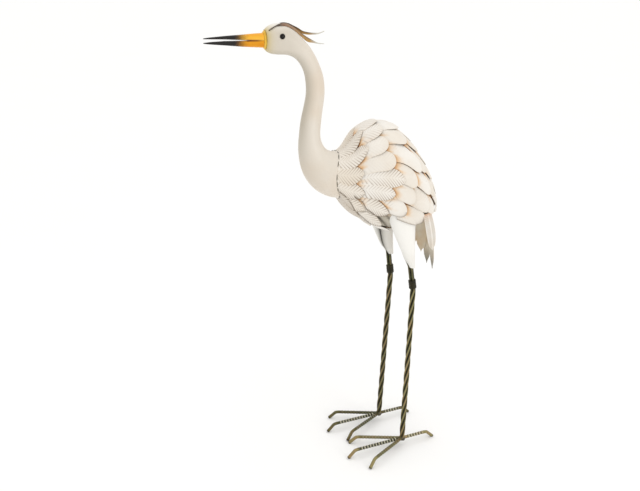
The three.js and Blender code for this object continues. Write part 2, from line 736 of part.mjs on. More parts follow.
addPiece("neck_and_head", neckAndHead(), CREAM);
addPiece("beak_collar", beakCollar(), COLLAR_PAINT);
addPiece("beak_upper", mandible(UPPER_MANDIBLE, true), BILL_PAINT);
addPiece("beak_lower", mandible(LOWER_MANDIBLE, false), BILL_PAINT);
addPiece("eye_left", eye(-1), EYE_PAINT);
addPiece("eye_right", eye(1), EYE_PAINT);
const headRoom = solidOf(neckAndHead(GAP));
addPiece("crest_plume_left", crestPlume(LEFT_PLUME, -1, headRoom), CREST_PAINT);
addPiece("crest_plume_right", crestPlume(RIGHT_PLUME, 1, headRoom), CREST_PAINT);
addPiece("body_shell", bodyShell(SHELL_INSET), WHITE);

FEATHER_ROWS.forEach((row, place) => {
  addPiece(`feather_row_${place + 1}`, featherRow(row), FEATHER);
});
BELLY_FEATHERS.forEach((row, place) => {
  addPiece(`belly_feather_${place + 1}`, featherRow(row), FEATHER);
});
TAIL_BLADES.forEach((blade, place) => {
  addPiece(`tail_feather_${place + 1}`, tailBlade(blade, place), FEATHER);
});

const grownRows = FEATHER_ROWS.map((row) => featherRow(row, GAP));
const thighCutters = [bodyShell(SHELL_INSET - GAP), ...grownRows].map(solidOf);
for (const [side, word] of [[-1, "left"], [1, "right"]]) {
  addPiece(`thigh_${word}`, thigh(side, thighCutters), WHITE);
  addPiece(`leg_${word}`, leg(side), BRONZE);
  addPiece(`knee_wrap_${word}`, kneeWrap(side), BRONZE);
  TOES.forEach((shape) => addPiece(`${shape.name}_${word}`, toe(side, shape), BRONZE));
}

export default crane;
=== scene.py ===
import math

import bmesh
import bpy
import numpy as np
from mathutils import Matrix, Vector


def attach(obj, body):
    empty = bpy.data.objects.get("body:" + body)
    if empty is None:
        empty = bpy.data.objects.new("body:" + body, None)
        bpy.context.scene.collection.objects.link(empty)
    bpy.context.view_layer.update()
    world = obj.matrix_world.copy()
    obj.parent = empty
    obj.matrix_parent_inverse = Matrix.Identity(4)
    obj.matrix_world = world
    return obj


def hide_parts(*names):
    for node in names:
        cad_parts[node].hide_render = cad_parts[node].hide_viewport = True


# Looks of a garden crane welded from painted sheet steel and steel rod.
# Tables are in millimetres and degrees, as the frame's own are, and meshes are made in metres.
# The bird faces -X, its left side is -Y, and it stands on z = 0.
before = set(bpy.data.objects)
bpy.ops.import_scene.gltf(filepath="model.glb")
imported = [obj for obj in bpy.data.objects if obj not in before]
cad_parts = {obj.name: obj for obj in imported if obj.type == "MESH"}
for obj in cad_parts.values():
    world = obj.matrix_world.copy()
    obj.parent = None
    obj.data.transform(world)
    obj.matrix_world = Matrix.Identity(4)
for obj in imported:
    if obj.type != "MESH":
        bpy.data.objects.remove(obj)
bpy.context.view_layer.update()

MM = 0.001
LEFT = -1
RIGHT = 1

# Oval sections of head and neck, from the bill to the breast: [low x, low z, high x, high z, half width]
NECK_SECTIONS = [
    [-143, 949.5, -143, 986.5, 15.5],
    [-139.5, 945, -139, 991, 19.5],
    [-131, 941, -130, 996, 22.5],
    [-118, 939, -114, 998.4, 24.2],
    [-103, 938, -99, 994.5, 24.5],
    [-91, 935.5, -81, 982.5, 23.5],
    [-79, 929, -64, 966.5, 21],
    [-69, 918, -48, 949, 19],
    [-61, 902, -33, 924, 18],
    [-57, 880, -21, 893, 18],
    [-57, 857, -18, 860, 18.5],
    [-62, 832, -22, 829, 19.5],
    [-68, 807, -26, 801, 20.5],
    [-72, 778, -28, 775, 22],
    [-74, 747, -24, 757, 25.5],
    [-70, 713, -14, 743, 31],
    [-58, 682, -4, 737.5, 38],
    [-37, 656, 4, 735.5, 44],
    [-11, 640, 8, 735.5, 47],
    [13.5, 633, 11, 736, 47.5],
]
# Oval sections of the body under its feathers, from the neck seam to the tail
BODY_SECTIONS = [
    [15.5, 635, 13, 734, 45.6],
    [24, 623, 26, 737, 51],
    [37, 609, 41, 748, 57],
    [53, 596, 53, 763, 64],
    [74, 582, 68, 778.5, 73],
    [98, 566, 96, 787.5, 80],
    [122, 555, 132, 783, 83],
    [147, 549, 165, 755, 82],
    [170, 548, 193.5, 720, 76],
    [191, 550, 214, 687, 67],
    [208, 553, 229, 654, 55],
    [222, 559, 237, 624, 41.5],
    [231, 568, 239.5, 598, 24],
    [236, 582, 236, 582, 0],
]
# The seam between neck and body is a saddle: its flanks lie this far ahead of its top and bottom
SEAM_SADDLE = 21
NECK_SADDLE_SHARE = 0.22
BODY_SADDLE_SHARE = 0.3
TAIL_TURN_SHARE = 0.92
SHARE_STEP = 1e-3
ANGLE_STEP = 0.02

# Feathers: each row starts at "root". Its tips are [angle, reach] or [angle, reach, width],
# alike on both sides of the back
FEATHER_ROWS = [
    {"root": -17, "lift": 4.5, "tips": [[15, 70], [46, 71], [77, 57], [107, 59], [137, 66], [166, 66]]},
    {"root": 34, "lift": 6.7, "tips": [
        [0, 110], [23, 108], [46, 111], [66, 123], [84, 145], [101, 124], [126, 117], [152, 116], [180, 112],
    ]},
    {"root": 84, "lift": 7, "tips": [[12, 150], [34, 158], [56, 198], [78, 180], [97, 178], [117, 159]]},
    {"root": 136, "lift": 6, "tips": [
        [0, 206], [23, 208], [47, 224], [71, 236], [96, 230, 47], [122, 217, 45],
    ]},
    {"root": 188, "lift": 6, "tips": [[12, 262], [37, 266], [64, 266], [94, 260]]},
    {"root": 240, "lift": 8, "tips": [[0, 320], [29, 318], [60, 310]]},
    {"root": 292, "lift": 24.5, "tips": [[20, 372]]},
]
BELLY_FEATHERS = [
    {"root": 84, "lift": 7, "tips": [[180, 160]]},
    {"root": 136, "lift": 7, "tips": [[180, 219]]},
]
FEATHER_WIDTH = 41
FEATHER_THICKNESS = 0.8
FEATHER_CROWN = 2.2
ROOT_LIFT = 0.5
LIFT_POWER = 1.5
# The edge away from the back stands off, and the other one is tucked under its neighbour
FEATHER_TILT = 1.7
ROUND_TIP = {"length": 25, "fullness": 2.1, "sharpness": 2.0}
POINTED_TIP = {"length": 36, "fullness": 1.9, "sharpness": 1.45}
# Barbs pressed into the sheet on both sides of the quill
BARB_SPACING = 6.4
BARB_STEPS = 8
BARB_DEPTH = 0.6
FAINT_BARB_DEPTH = 0.1
# Leaves of the third row are barbed over this share of their length only
BARBED_SHARE = 0.55
BARB_ANGLE_ROOT = 84
BARB_ANGLE = 47
BARB_ANGLE_TIP = 30
QUILL_HEIGHT = 0.08
QUILL_WIDTH = 1.0
# Places across half a feather, from its quill to its edge
ACROSS = [0, 0.05, 0.11, 0.2, 0.36, 0.54, 0.72, 0.87, 0.96, 1]
BOTH_SIDES = np.array([-place for place in ACROSS[:0:-1]] + ACROSS)


def rgb(red, green, blue):
    """Linear colour of screen values from 0 to 255."""
    values = [value / 255 for value in (red, green, blue)]
    return tuple(v / 12.92 if v <= 0.04045 else ((v + 0.055) / 1.055) ** 2.4 for v in values)


def clamp(value):
    """A value held between 0 and 1."""
    return np.clip(value, 0, 1)


def rising(value, start, length):
    """0 up to a start, and 1 from a length beyond it."""
    return clamp((value - start) / length)


def fading(value, end, length):
    """1 up to a length before the end, and 0 beyond the end."""
    return clamp((end - value) / length)


def circle(steps):
    """Angles once round, in even steps."""
    return np.linspace(0, 2 * math.pi, steps + 1)[:-1]


def join(x, y, z):
    """Points from three coordinates, each spread over the same grid."""
    return np.stack(np.broadcast_arrays(x, y, z), axis=-1)


def in_scene(name, data):
    """A new object in the scene."""
    made = bpy.data.objects.new(name, data)
    bpy.context.scene.collection.objects.link(made)
    return made


class Paint:
    """A material and short ways to make its nodes."""

    NOISE_ROUGHNESS = 0.55

    def __init__(self, name, roughness, metallic=0.0, specular=0.5):
        self.material = bpy.data.materials.new(name)
        self.material.use_nodes = True
        self.nodes = self.material.node_tree.nodes
        self.links = self.material.node_tree.links
        self.shader = self.nodes["Principled BSDF"]
        self.shader.inputs["Roughness"].default_value = roughness
        self.shader.inputs["Metallic"].default_value = metallic
        self.shader.inputs["Specular IOR Level"].default_value = specular

    def node(self, kind, inputs, **settings):
        made = self.nodes.new(kind)
        for key, value in settings.items():
            setattr(made, key, value)
        for key, value in inputs.items():
            if isinstance(value, bpy.types.NodeSocket):
                self.links.new(value, made.inputs[key])
            else:
                made.inputs[key].default_value = value
        return made

    def place(self):
        """Place on the object, in metres."""
        return self.node("ShaderNodeTexCoord", {}).outputs["Object"]

    def noise(self, scale, detail=3.0, stretch=(1, 1, 1)):
        spread = self.node("ShaderNodeMapping", {"Vector": self.place(), "Scale": stretch})
        made = self.node("ShaderNodeTexNoise", {
            "Vector": spread.outputs["Vector"], "Scale": scale, "Detail": detail,
            "Roughness": self.NOISE_ROUGHNESS,
        })
        return made.outputs["Fac"]

    def value(self, name):
        """The mesh's own value of that name."""
        return self.node("ShaderNodeAttribute", {}, attribute_name=name).outputs["Fac"]

    def math(self, operation, a, b):
        return self.node("ShaderNodeMath", {0: a, 1: b}, operation=operation).outputs[0]

    def times(self, a, b):
        return self.math("MULTIPLY", a, b)

    def ramp(self, value, low, high, to_low=0.0, to_high=1.0):
        """A value taken smoothly from one range to another."""
        made = self.node(
            "ShaderNodeMapRange",
            {"Value": value, "From Min": low, "From Max": high, "To Min": to_low, "To Max": to_high},
            interpolation_type="SMOOTHSTEP",
        )
        return made.outputs["Result"]

    def patches(self, scale, low, high, strength=1.0, detail=4.0, stretch=(1, 1, 1)):
        """Patches of noise, faded in between two of its values."""
        return self.ramp(self.noise(scale, detail, stretch), low, high, 0.0, strength)

    def mix(self, share, first, second):
        """Colours mixed by a share. Each is a socket or three numbers."""
        made = self.node("ShaderNodeMix", {}, data_type="RGBA")
        sockets = (made.inputs["Factor"], made.inputs[6], made.inputs[7])
        for socket, value in zip(sockets, (share, first, second)):
            if isinstance(value, bpy.types.NodeSocket):
                self.links.new(value, socket)
            elif isinstance(value, tuple):
                socket.default_value = (*value, 1.0)
            else:
                socket.default_value = value
        return made.outputs[2]

    def coats(self, colour, **coats):
        """More colours over a colour, each as strong as the mesh's value of its name."""
        for name, coat in coats.items():
            colour = self.mix(self.value(name), colour, coat)
        return colour

    def finish(self, colour, gloss=None, bumps=()):
        """Links the colour, noise in the roughness (scale, lowest, highest) and bumps (scale, detail, mm)."""
        self.links.new(colour, self.shader.inputs["Base Color"])
        if gloss is not None:
            scale, lowest, highest = gloss
            rough = self.ramp(self.noise(scale), 0.3, 0.7, lowest, highest)
            self.links.new(rough, self.shader.inputs["Roughness"])
        normal = None
        for scale, detail, depth in bumps:
            inputs = {"Height": self.noise(scale, detail), "Distance": depth * MM, "Strength": 1.0}
            if normal is not None:
                inputs["Normal"] = normal
            normal = self.node("ShaderNodeBump", inputs).outputs["Normal"]
        if normal is not None:
            self.links.new(normal, self.shader.inputs["Normal"])
        return self.material


WHITE = rgb(240, 238, 234)
CREAM = rgb(227, 219, 208)
WARM_CREAM = rgb(214, 198, 174)
SHADE_CREAM = rgb(182, 174, 158)
PEACH = rgb(224, 188, 146)
ORANGE = rgb(202, 142, 86)
UMBER = rgb(124, 82, 46)


def cream_paint():
    """Hand-sprayed cream on neck and head, warmer in broad patches, with fine dust in the gloss."""
    paint = Paint("cream_paint", 0.42)
    colour = paint.mix(paint.patches(9, 0.42, 0.68, detail=2), rgb(219, 211, 199), rgb(216, 203, 186))
    colour = paint.mix(paint.patches(26, 0.5, 0.75, 0.3, stretch=(1, 1, 0.3)), colour, CREAM)
    # The mesh's shade is painted shade and its crown is painted light on top of the head
    colour = paint.coats(colour, shade=SHADE_CREAM, crown=WHITE, olive=rgb(204, 184, 118))
    return paint.finish(colour, (60, 0.36, 0.52), [(35, 2, 1.2), (420, 4, 0.12)])


def feather_paint():
    """White sheet-steel feathers: painted shade, grey-brown, in the barbs, airbrushed orange where feathers
    part, and painted shade in notches, along shadow lines and on hidden sides.
    """
    paint = Paint("feather_paint", 0.45)
    colour = paint.mix(paint.patches(14, 0.35, 0.7, 0.6, 3), WHITE, CREAM)
    colour = paint.coats(colour, leaf=WARM_CREAM)
    spray_and_shade = paint.times(paint.math("SUBTRACT", paint.noise(70, 5), 0.5), 0.5)
    # Brown along every leaf edge: airbrushed paint that is also painted shade at the edge
    edge = paint.times(paint.value("edge"), paint.math("ADD", spray_and_shade, 0.25))
    colour = paint.mix(edge, colour, rgb(206, 178, 140))
    orange = paint.math("ADD", paint.value("orange"), spray_and_shade)
    colour = paint.mix(paint.ramp(orange, 0.1, 0.7), colour, PEACH)
    colour = paint.mix(paint.ramp(orange, 0.5, 1.05), colour, ORANGE)
    # Painted shade: grey-brown in the pressed barb grooves
    colour = paint.mix(paint.times(paint.value("groove"), 0.85), colour, rgb(128, 102, 72))
    # Painted shadow: dark line along the edges of the rows above, belly edges and hanging edges, and on
    # hidden sides
    colour = paint.coats(colour, line=rgb(104, 88, 68))
    # Painted shade: umber in the deepest part of the notches between the tips of the row above
    colour = paint.mix(paint.ramp(paint.value("dark"), 0.3, 0.95), colour, UMBER)
    return paint.finish(colour, (90, 0.38, 0.56), [(55, 2, 0.7), (500, 4, 0.1)])


def skin_paint():
    """Orange-brown sheet under the feathers, grey low down as painted shade under the belly, with dark
    stripes of painted shadow, and cream at the rim.
    """
    paint = Paint("under_paint", 0.6)
    mottled = paint.patches(30, 0.35, 0.65)
    # Painted shade: grey for the low part of the skin under the belly
    grey = paint.mix(mottled, rgb(190, 183, 168), rgb(160, 152, 136))
    colour = paint.mix(mottled, rgb(204, 160, 112), rgb(178, 122, 70))
    # Grey painted shade low down and dark stripes of painted shadow over the orange-brown
    colour = paint.coats(colour, low=grey, line=rgb(84, 74, 58), rim=CREAM)
    return paint.finish(colour, None, [(300, 4, 0.2)])


def thigh_paint():
    """White sleeves, greyer low down, with painted shade, grey, along the dark seam line and on the side that
    faces the other leg.
    """
    paint = Paint("thigh_paint", 0.45)
    colour = paint.mix(paint.patches(18, 0.4, 0.7, 0.5, 3), rgb(240, 238, 233), rgb(232, 228, 220))
    # Painted shade: grey from the mesh's shade, which also holds the grey low down, and dark beside the seam
    # gap from its line
    colour = paint.coats(colour, shade=rgb(124, 122, 110), line=rgb(60, 54, 46))
    return paint.finish(colour, (80, 0.38, 0.55), [(40, 2, 1.0), (480, 4, 0.1)])


def tail_paint():
    """Tail blades: cream outside, gold-brown inside, grey at long tips, orange at the roots and painted shade
    in the barb grooves.
    """
    paint = Paint("tail_paint", 0.45)
    tone = paint.patches(22, 0.35, 0.7, detail=3)
    bronze = paint.mix(tone, rgb(206, 196, 176), rgb(196, 174, 142))
    colour = paint.coats(paint.mix(tone, WHITE, CREAM), inside=bronze, tip=rgb(124, 119, 106))
    # Painted shade in the pressed barb grooves
    colour = paint.mix(paint.times(paint.value("groove"), 0.7), colour, rgb(150, 134, 108))
    return paint.finish(paint.coats(colour, orange=ORANGE), None, [(420, 4, 0.12)])


def bill_paint():
    """Orange bill, yellower above and redder in the slit with painted shade, sprayed black towards the tip.
    """
    paint = Paint("bill_paint", 0.36, specular=0.25)
    brushed = paint.patches(60, 0.35, 0.7, stretch=(0.25, 1, 1))
    lower = paint.mix(brushed, rgb(228, 156, 14), rgb(214, 132, 6))
    colour = paint.coats(paint.mix(brushed, rgb(242, 184, 58), rgb(234, 160, 36)), low=lower)
    speckled = paint.math("ADD", paint.value("black"), paint.times(paint.noise(260, 4), 0.22))
    colour = paint.mix(paint.ramp(speckled, 0.3, 0.9), colour, rgb(30, 27, 25))
    return paint.finish(paint.coats(colour, slit=rgb(120, 52, 14)), None, [(300, 4, 0.15)])


def collar_paint():
    """Yellow ring with an olive brown rear edge."""
    paint = Paint("collar_paint", 0.36)
    mottled = paint.patches(140, 0.35, 0.7)
    yellow = paint.mix(mottled, rgb(232, 190, 66), rgb(218, 166, 40))
    olive = paint.mix(mottled, rgb(168, 140, 34), rgb(122, 88, 26))
    return paint.finish(paint.coats(yellow, rear=olive), None, [(380, 4, 0.2)])


def eye_enamel():
    """Glossy black enamel, faintly brown."""
    paint = Paint("eye_enamel", 0.05, specular=0.22)
    return paint.finish(paint.mix(paint.noise(400), rgb(10, 8, 8), rgb(26, 16, 12)))


def crest_paint():
    """Crest strips: brown, gold behind, dark in front and along the inner edge, pale at the tips."""
    paint = Paint("crest_paint", 0.4)
    mottled = paint.patches(60, 0.35, 0.7)
    brown = paint.mix(mottled, rgb(124, 86, 58), rgb(148, 110, 72))
    gold = paint.mix(mottled, rgb(176, 138, 72), rgb(150, 110, 56))
    colour = paint.coats(brown, gold=gold, dark=rgb(62, 50, 38), pale=rgb(204, 202, 192))
    return paint.finish(colour, None, [(420, 4, 0.12)])


def bronze_rod():
    """Steel rod under dark olive bronze paint, with gold in patches where the mesh says: gold wear on the
    toes, and gold wear with painted highlight along the leg rods.
    """
    paint = Paint("bronze_rod", 0.36, metallic=0.55)
    broad = paint.patches(38, 0.38, 0.66)
    gold = paint.mix(broad, rgb(158, 150, 100), rgb(172, 146, 100))
    colour = paint.mix(broad, rgb(48, 48, 26), rgb(72, 66, 38))
    colour = paint.mix(paint.patches(90, 0.5, 0.7, 0.7), colour, rgb(80, 86, 46))
    # Gold is gold wear and, on the leg rods, painted highlight; pale is painted highlight on toe ribs; dark
    # is painted shade between leg rods and in toe ribs, the knee wire's darker paint, and the cut toe ends
    colour = paint.coats(colour, gold=gold, pale=rgb(226, 222, 196), dark=rgb(22, 16, 8))
    return paint.finish(colour, (160, 0.26, 0.5), [(700, 4, 0.2)])


def weld_scale():
    """Weld metal, olive grey."""
    paint = Paint("weld_scale", 0.55, metallic=0.5)
    colour = paint.mix(paint.patches(240, 0.35, 0.7), rgb(70, 66, 54), rgb(112, 106, 88))
    return paint.finish(colour, None, [(900, 4, 0.3)])


# Edges bent more than this are shown sharp
SHARP_ANGLE = 42


class Shape:
    """Points in millimetres, faces, and named values at the points of one mesh."""

    def __init__(self):
        self.points = []
        self.faces = []
        self.values = {}
        self.count = 0

    def add(self, points, faces, **values):
        """Adds a grid of points and its faces. Each value is spread over the grid."""
        size = points.shape[:-1]
        self.points.append(points.reshape(-1, 3))
        self.faces += [[corner + self.count for corner in face] for face in faces]
        for name, value in values.items():
            self.values.setdefault(name, []).append(np.broadcast_to(value, size).ravel())
        self.count += len(self.points[-1])
        return self

    def add_tube(self, rings, **values):
        """Adds closed rings of points with a flat face at each end."""
        return self.add(rings, tube_faces(*rings.shape[:2]), **values)

    def add_sheet(self, outer, inner, **values):
        """Adds a sheet by the grids of its two faces. A pair of values is one for each face."""
        size = outer.shape[:-1]
        for name, value in values.items():
            if isinstance(value, tuple):
                values[name] = np.stack([np.broadcast_to(face, size) for face in value])
        return self.add(np.stack([outer, inner]), shell_faces(*size), **values)

    def piece(self, name, material, slot, nodes):
        """Makes the mesh object, with its faces turned outwards, and hides the imported parts that it stands
        for.
        """
        mesh = bpy.data.meshes.new(name)
        mesh.from_pydata((np.concatenate(self.points) * MM).tolist(), [], self.faces)
        for value, parts in self.values.items():
            spot = mesh.attributes.new(value, "FLOAT", "POINT")
            spot.data.foreach_set("value", np.concatenate(parts).astype(np.float32))
        work = bmesh.new()
        work.from_mesh(mesh)
        bmesh.ops.recalc_face_normals(work, faces=work.faces)
        work.to_mesh(mesh)
        work.free()
        mesh.shade_smooth()
        mesh.set_sharp_from_angle(angle=math.radians(SHARP_ANGLE))
        mesh.materials.append(material)
        made = in_scene(name, mesh)
        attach(made, "root")
        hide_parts(*nodes)


def grid_faces(rows, columns, closed=False):
    """Quads of a grid of points stored row after row."""
    wide = columns if closed else columns - 1
    row, column = np.meshgrid(np.arange(rows - 1), np.arange(wide), indexing="ij")
    here = row * columns + column
    beside = row * columns + (column + 1) % columns
    return np.stack([here, beside, beside + columns, here + columns], axis=-1).reshape(-1, 4).tolist()


def tube_faces(rings, sides):
    """Quads along a tube and a flat face at each end."""
    ends = [list(range(sides)), list(range((rings - 1) * sides, rings * sides))]
    return grid_faces(rings, sides, closed=True) + ends


def shell_faces(rows, columns):
    """Faces of a sheet whose upper grid comes first and its lower grid second."""
    size = rows * columns
    upper = grid_faces(rows, columns)
    lower = [[corner + size for corner in face] for face in upper]
    rim = list(range(columns)) + [row * columns + columns - 1 for row in range(1, rows)]
    rim += [size - 1 - column for column in range(1, columns)]
    rim += [row * columns for row in range(rows - 2, 0, -1)]
    walls = [[a, b, b + size, a + size] for a, b in zip(rim, rim[1:] + rim[:1])]
    return upper + lower + walls


def smooth_rows(table, share):
    """Smooth curve through the rows of a table at an array of shares of its length."""
    table = np.asarray(table, float)
    last = len(table) - 1
    place = np.clip(share, 0, 1) * last
    start = np.minimum(np.floor(place).astype(int), last - 1)
    t = (place - start)[..., None]
    rows = np.vstack([2 * table[0] - table[1], table, 2 * table[-1] - table[-2]])
    before, here, there, after = (rows[start + step] for step in range(4))
    slope_in = (there - before) / 2
    slope_out = (after - here) / 2
    rise = there - here
    bend = 3 * rise - 2 * slope_in - slope_out
    return here + slope_in * t + bend * t * t + (slope_in + slope_out - 2 * rise) * t ** 3


def section_points(rows, angle, saddle):
    """Points of oval sections. The angle runs from the high point towards +Y."""
    low_x, low_z, high_x, high_z, half_width = np.moveaxis(rows, -1, 0)
    up = (1 + np.cos(angle)) / 2
    x = low_x + (high_x - low_x) * up - SEAM_SADDLE * saddle ** 2 * np.sin(angle) ** 2
    return np.stack([x, half_width * np.sin(angle), low_z + (high_z - low_z) * up], axis=-1)


def neck_points(share, angle):
    share, angle = np.broadcast_arrays(share, angle)
    saddle = np.maximum(0, 1 - (1 - share) / NECK_SADDLE_SHARE)
    return section_points(smooth_rows(NECK_SECTIONS, share), angle, saddle)


def body_points(share, angle):
    share, angle = np.broadcast_arrays(share, angle)
    saddle = np.maximum(0, 1 - share / BODY_SADDLE_SHARE)
    return section_points(smooth_rows(BODY_SECTIONS, share), angle, saddle)


def unit(vectors):
    return vectors / np.linalg.norm(vectors, axis=-1, keepdims=True)


def normals_of(surface, share, angle):
    """Outward normals of a surface given as points over share and angle."""
    along = surface(share + SHARE_STEP, angle) - surface(share - SHARE_STEP, angle)
    around = surface(share, angle + ANGLE_STEP) - surface(share, angle - ANGLE_STEP)
    normal = unit(np.cross(around, along))
    across = surface(share, angle) - surface(share, angle + math.pi)
    turned = np.sign(np.sum(normal * across, axis=-1, keepdims=True))
    return normal * np.where(turned == 0, 1, turned)


class BodyMap:
    """The body's surface by angle and by arc length from the neck seam."""

    STEPS = 120
    LONGEST = 420

    def __init__(self):
        self.angles = np.radians(np.arange(-360, 361, 1.0))
        shares = np.linspace(0, TAIL_TURN_SHARE, self.STEPS + 1)
        points = body_points(shares[None, :], self.angles[:, None])
        steps = np.linalg.norm(np.diff(points, axis=1), axis=-1)
        lengths = np.concatenate([np.zeros((len(self.angles), 1)), np.cumsum(steps, axis=1)], axis=1)
        arcs = np.arange(self.LONGEST + 1.0)
        self.share = np.array([np.interp(arcs, row, shares) for row in lengths])
        self.ahead = np.maximum(0, arcs[None, :] - lengths[:, -1:])

    def read(self, table, angle, arc):
        column = np.clip(arc, 0, self.LONGEST - 1e-6)
        row = np.degrees(angle) + 360
        r, c = np.floor(row).astype(int), np.floor(column).astype(int)
        u, v = row - r, column - c
        low = table[r, c] * (1 - v) + table[r, c + 1] * v
        high = table[r + 1, c] * (1 - v) + table[r + 1, c + 1] * v
        return low * (1 - u) + high * u

    def points(self, angle, arc, height):
        """Points at a height over the surface, which goes straight on where the body turns under."""
        angle, arc, height = np.broadcast_arrays(angle, arc, height)
        share = self.read(self.share, angle, arc)
        ahead = self.read(self.ahead, angle, arc) + np.minimum(arc, 0)
        base = body_points(share, angle)
        onward = unit(body_points(share + SHARE_STEP, angle) - body_points(share - SHARE_STEP, angle))
        return base + onward * ahead[..., None] + normals_of(body_points, share, angle) * height[..., None]

    def girth_rate(self, angle, arc):
        """Length per radian round the body."""
        ends = [self.points(angle + turn, arc, 0) for turn in (ANGLE_STEP, -ANGLE_STEP)]
        return np.linalg.norm(ends[0] - ends[1], axis=-1) / (2 * ANGLE_STEP)


BODY = BodyMap()


def tip_width(distance, tip):
    """Share of a feather's half width at a distance from its tip."""
    inside = clamp((tip["length"] - distance) / tip["length"])
    return (1 - inside ** tip["fullness"]) ** (1 / tip["sharpness"])


# How warm and dark the cream of each row is, and how much more in single leaves
ROW_WARMTH = [0.35, 0.1, 0.12, 0.15, 0.2, 0.08, 0.0]
LEAF_WARMTH = 0.25
# Painted shadow lines of open edges of the long leaves under the belly, dark and slanting: [arc, angle]
BELLY_EDGES = [
    [[0, 122], [16, 125], [32, 136.5], [45, 149], [54, 155], [80, 161], [97, 162.5]],
    [[36, 115], [47, 119.5], [57, 124], [68, 133.5], [90, 137], [103, 138]],
]
BELLY_LINE_WIDTH = 2.5
# How grey the leaves are below the first of these edges, as painted shade
BELLY_SHADE = 0.2
# How dark the painted shade on the hidden side of a feather is
UNDERSIDE_SHADE = 0.7
# The girth is measured between these arcs
GIRTH_ARCS = (6, 400)
# Leaves this near the middle line, in radians, stand off or are tucked in on both sides alike
MIDDLE_ANGLE = 0.05
# How fast crown and tilt grow from the root, and how far before the tip the crown flattens out
CROWN_GROWTH = 3
TILT_GROWTH = 1.6
FLAT_TIP = 20
# The leaves of the first three rows are barbed from these angles on
BARBED_FROM = [0, 80, 90]
# How dark the painted shade, brown, in the grooves is in barbed leaves, near the back in the second row, and
# elsewhere
GROOVE_SHADE = {"barbed": 0.9, "back": 0.45, "plain": 0.12}
BACK_ANGLE = 30
# Barbs turn over this length at both ends of the leaf, and sooner from the first row's roots
BARB_TURN = 30
FIRST_BARB_TURN = 12
# A groove is shallow beside the quill and has its full depth from a share of the half width on
GROOVE_START = 0.3
GROOVE_FULL = 0.8
GROOVE_GROWTH = 1.5
GROOVE_SHARPNESS = 5
GROOVE_END_FADE = 6
QUILL_CLEARANCE = 1.2
QUILL_TAPER = 22
BARBED_FADE = 0.15
# Beyond the tips of the row above: how far orange, the dark painted shade in the notches and the painted
# shadow line reach
ORANGE_REACH = 13
DARK_REACH = 3
LINE_REACH = 1.3
# The painted shadow line is this dark, and darker under the body: from the first angle on, over the second
# one
LINE_DARK = 0.4
LINE_DARKER_UNDER = 0.5
UNDER_ANGLES = (90, 30)
# The first two rows have no orange or dark painted notch shade further round from the back than this angle
NOTCH_END_ANGLE = 140
# The brown edge of each leaf, airbrushed and partly painted shade, and the dark painted shade along the edge
# of hanging ones: from the first angle on, over the second
EDGE_WIDTH = 1.6
EDGE_BROWN = 0.8
HANGING_EDGE_WIDTH = 2.4
HANGING_EDGE_DARK = 0.95
HANG_ANGLES = (95, 25)

THIGH_AXIS_Y = 51
THIGH_CLEAR_HEIGHTS = [560, 640]
THIGH_SECTIONS = [
    [177, 51, 461.5, 9, 8.5],
    [168, 51, 500, 15.2, 12.5],
    [158, 51, 540, 23.8, 16.5],
    [149.5, 51, 578, 31, 20],
    [141, 51, 618, 37, 23],
]
# The right thigh reaches further forward: half of what its sections gain in length
RIGHT_THIGH_FULLER = 3
# Leaves are moved out of the thighs from this far inside their axis, over this depth, and stay clear of them
THIGH_PUSH_START = 3
THIGH_PUSH_DEPTH = 10
THIGH_CLEARANCE = 2


def over_thighs(points, clearance):
    """Moves points outwards where they would lie inside the top of a thigh."""
    heights, middles, lengths, widths = (np.array(THIGH_SECTIONS)[:, column] for column in (2, 0, 3, 4))
    z = points[..., 2]
    off = (points[..., 0] - np.interp(z, heights, middles)) / (np.interp(z, heights, lengths) + clearance)
    reach = (np.interp(z, heights, widths) + clearance) * np.sqrt(clamp(1 - off ** 2))
    y = np.abs(points[..., 1])
    lowest, highest = THIGH_CLEAR_HEIGHTS
    share = clamp((y - THIGH_AXIS_Y + THIGH_PUSH_START) / THIGH_PUSH_DEPTH)
    share = share * (z > lowest) * (z < highest) * (np.abs(off) < 1)
    y = y + share * np.maximum(THIGH_AXIS_Y + reach - y, 0)
    return join(points[..., 0], np.sign(points[..., 1]) * y, z)


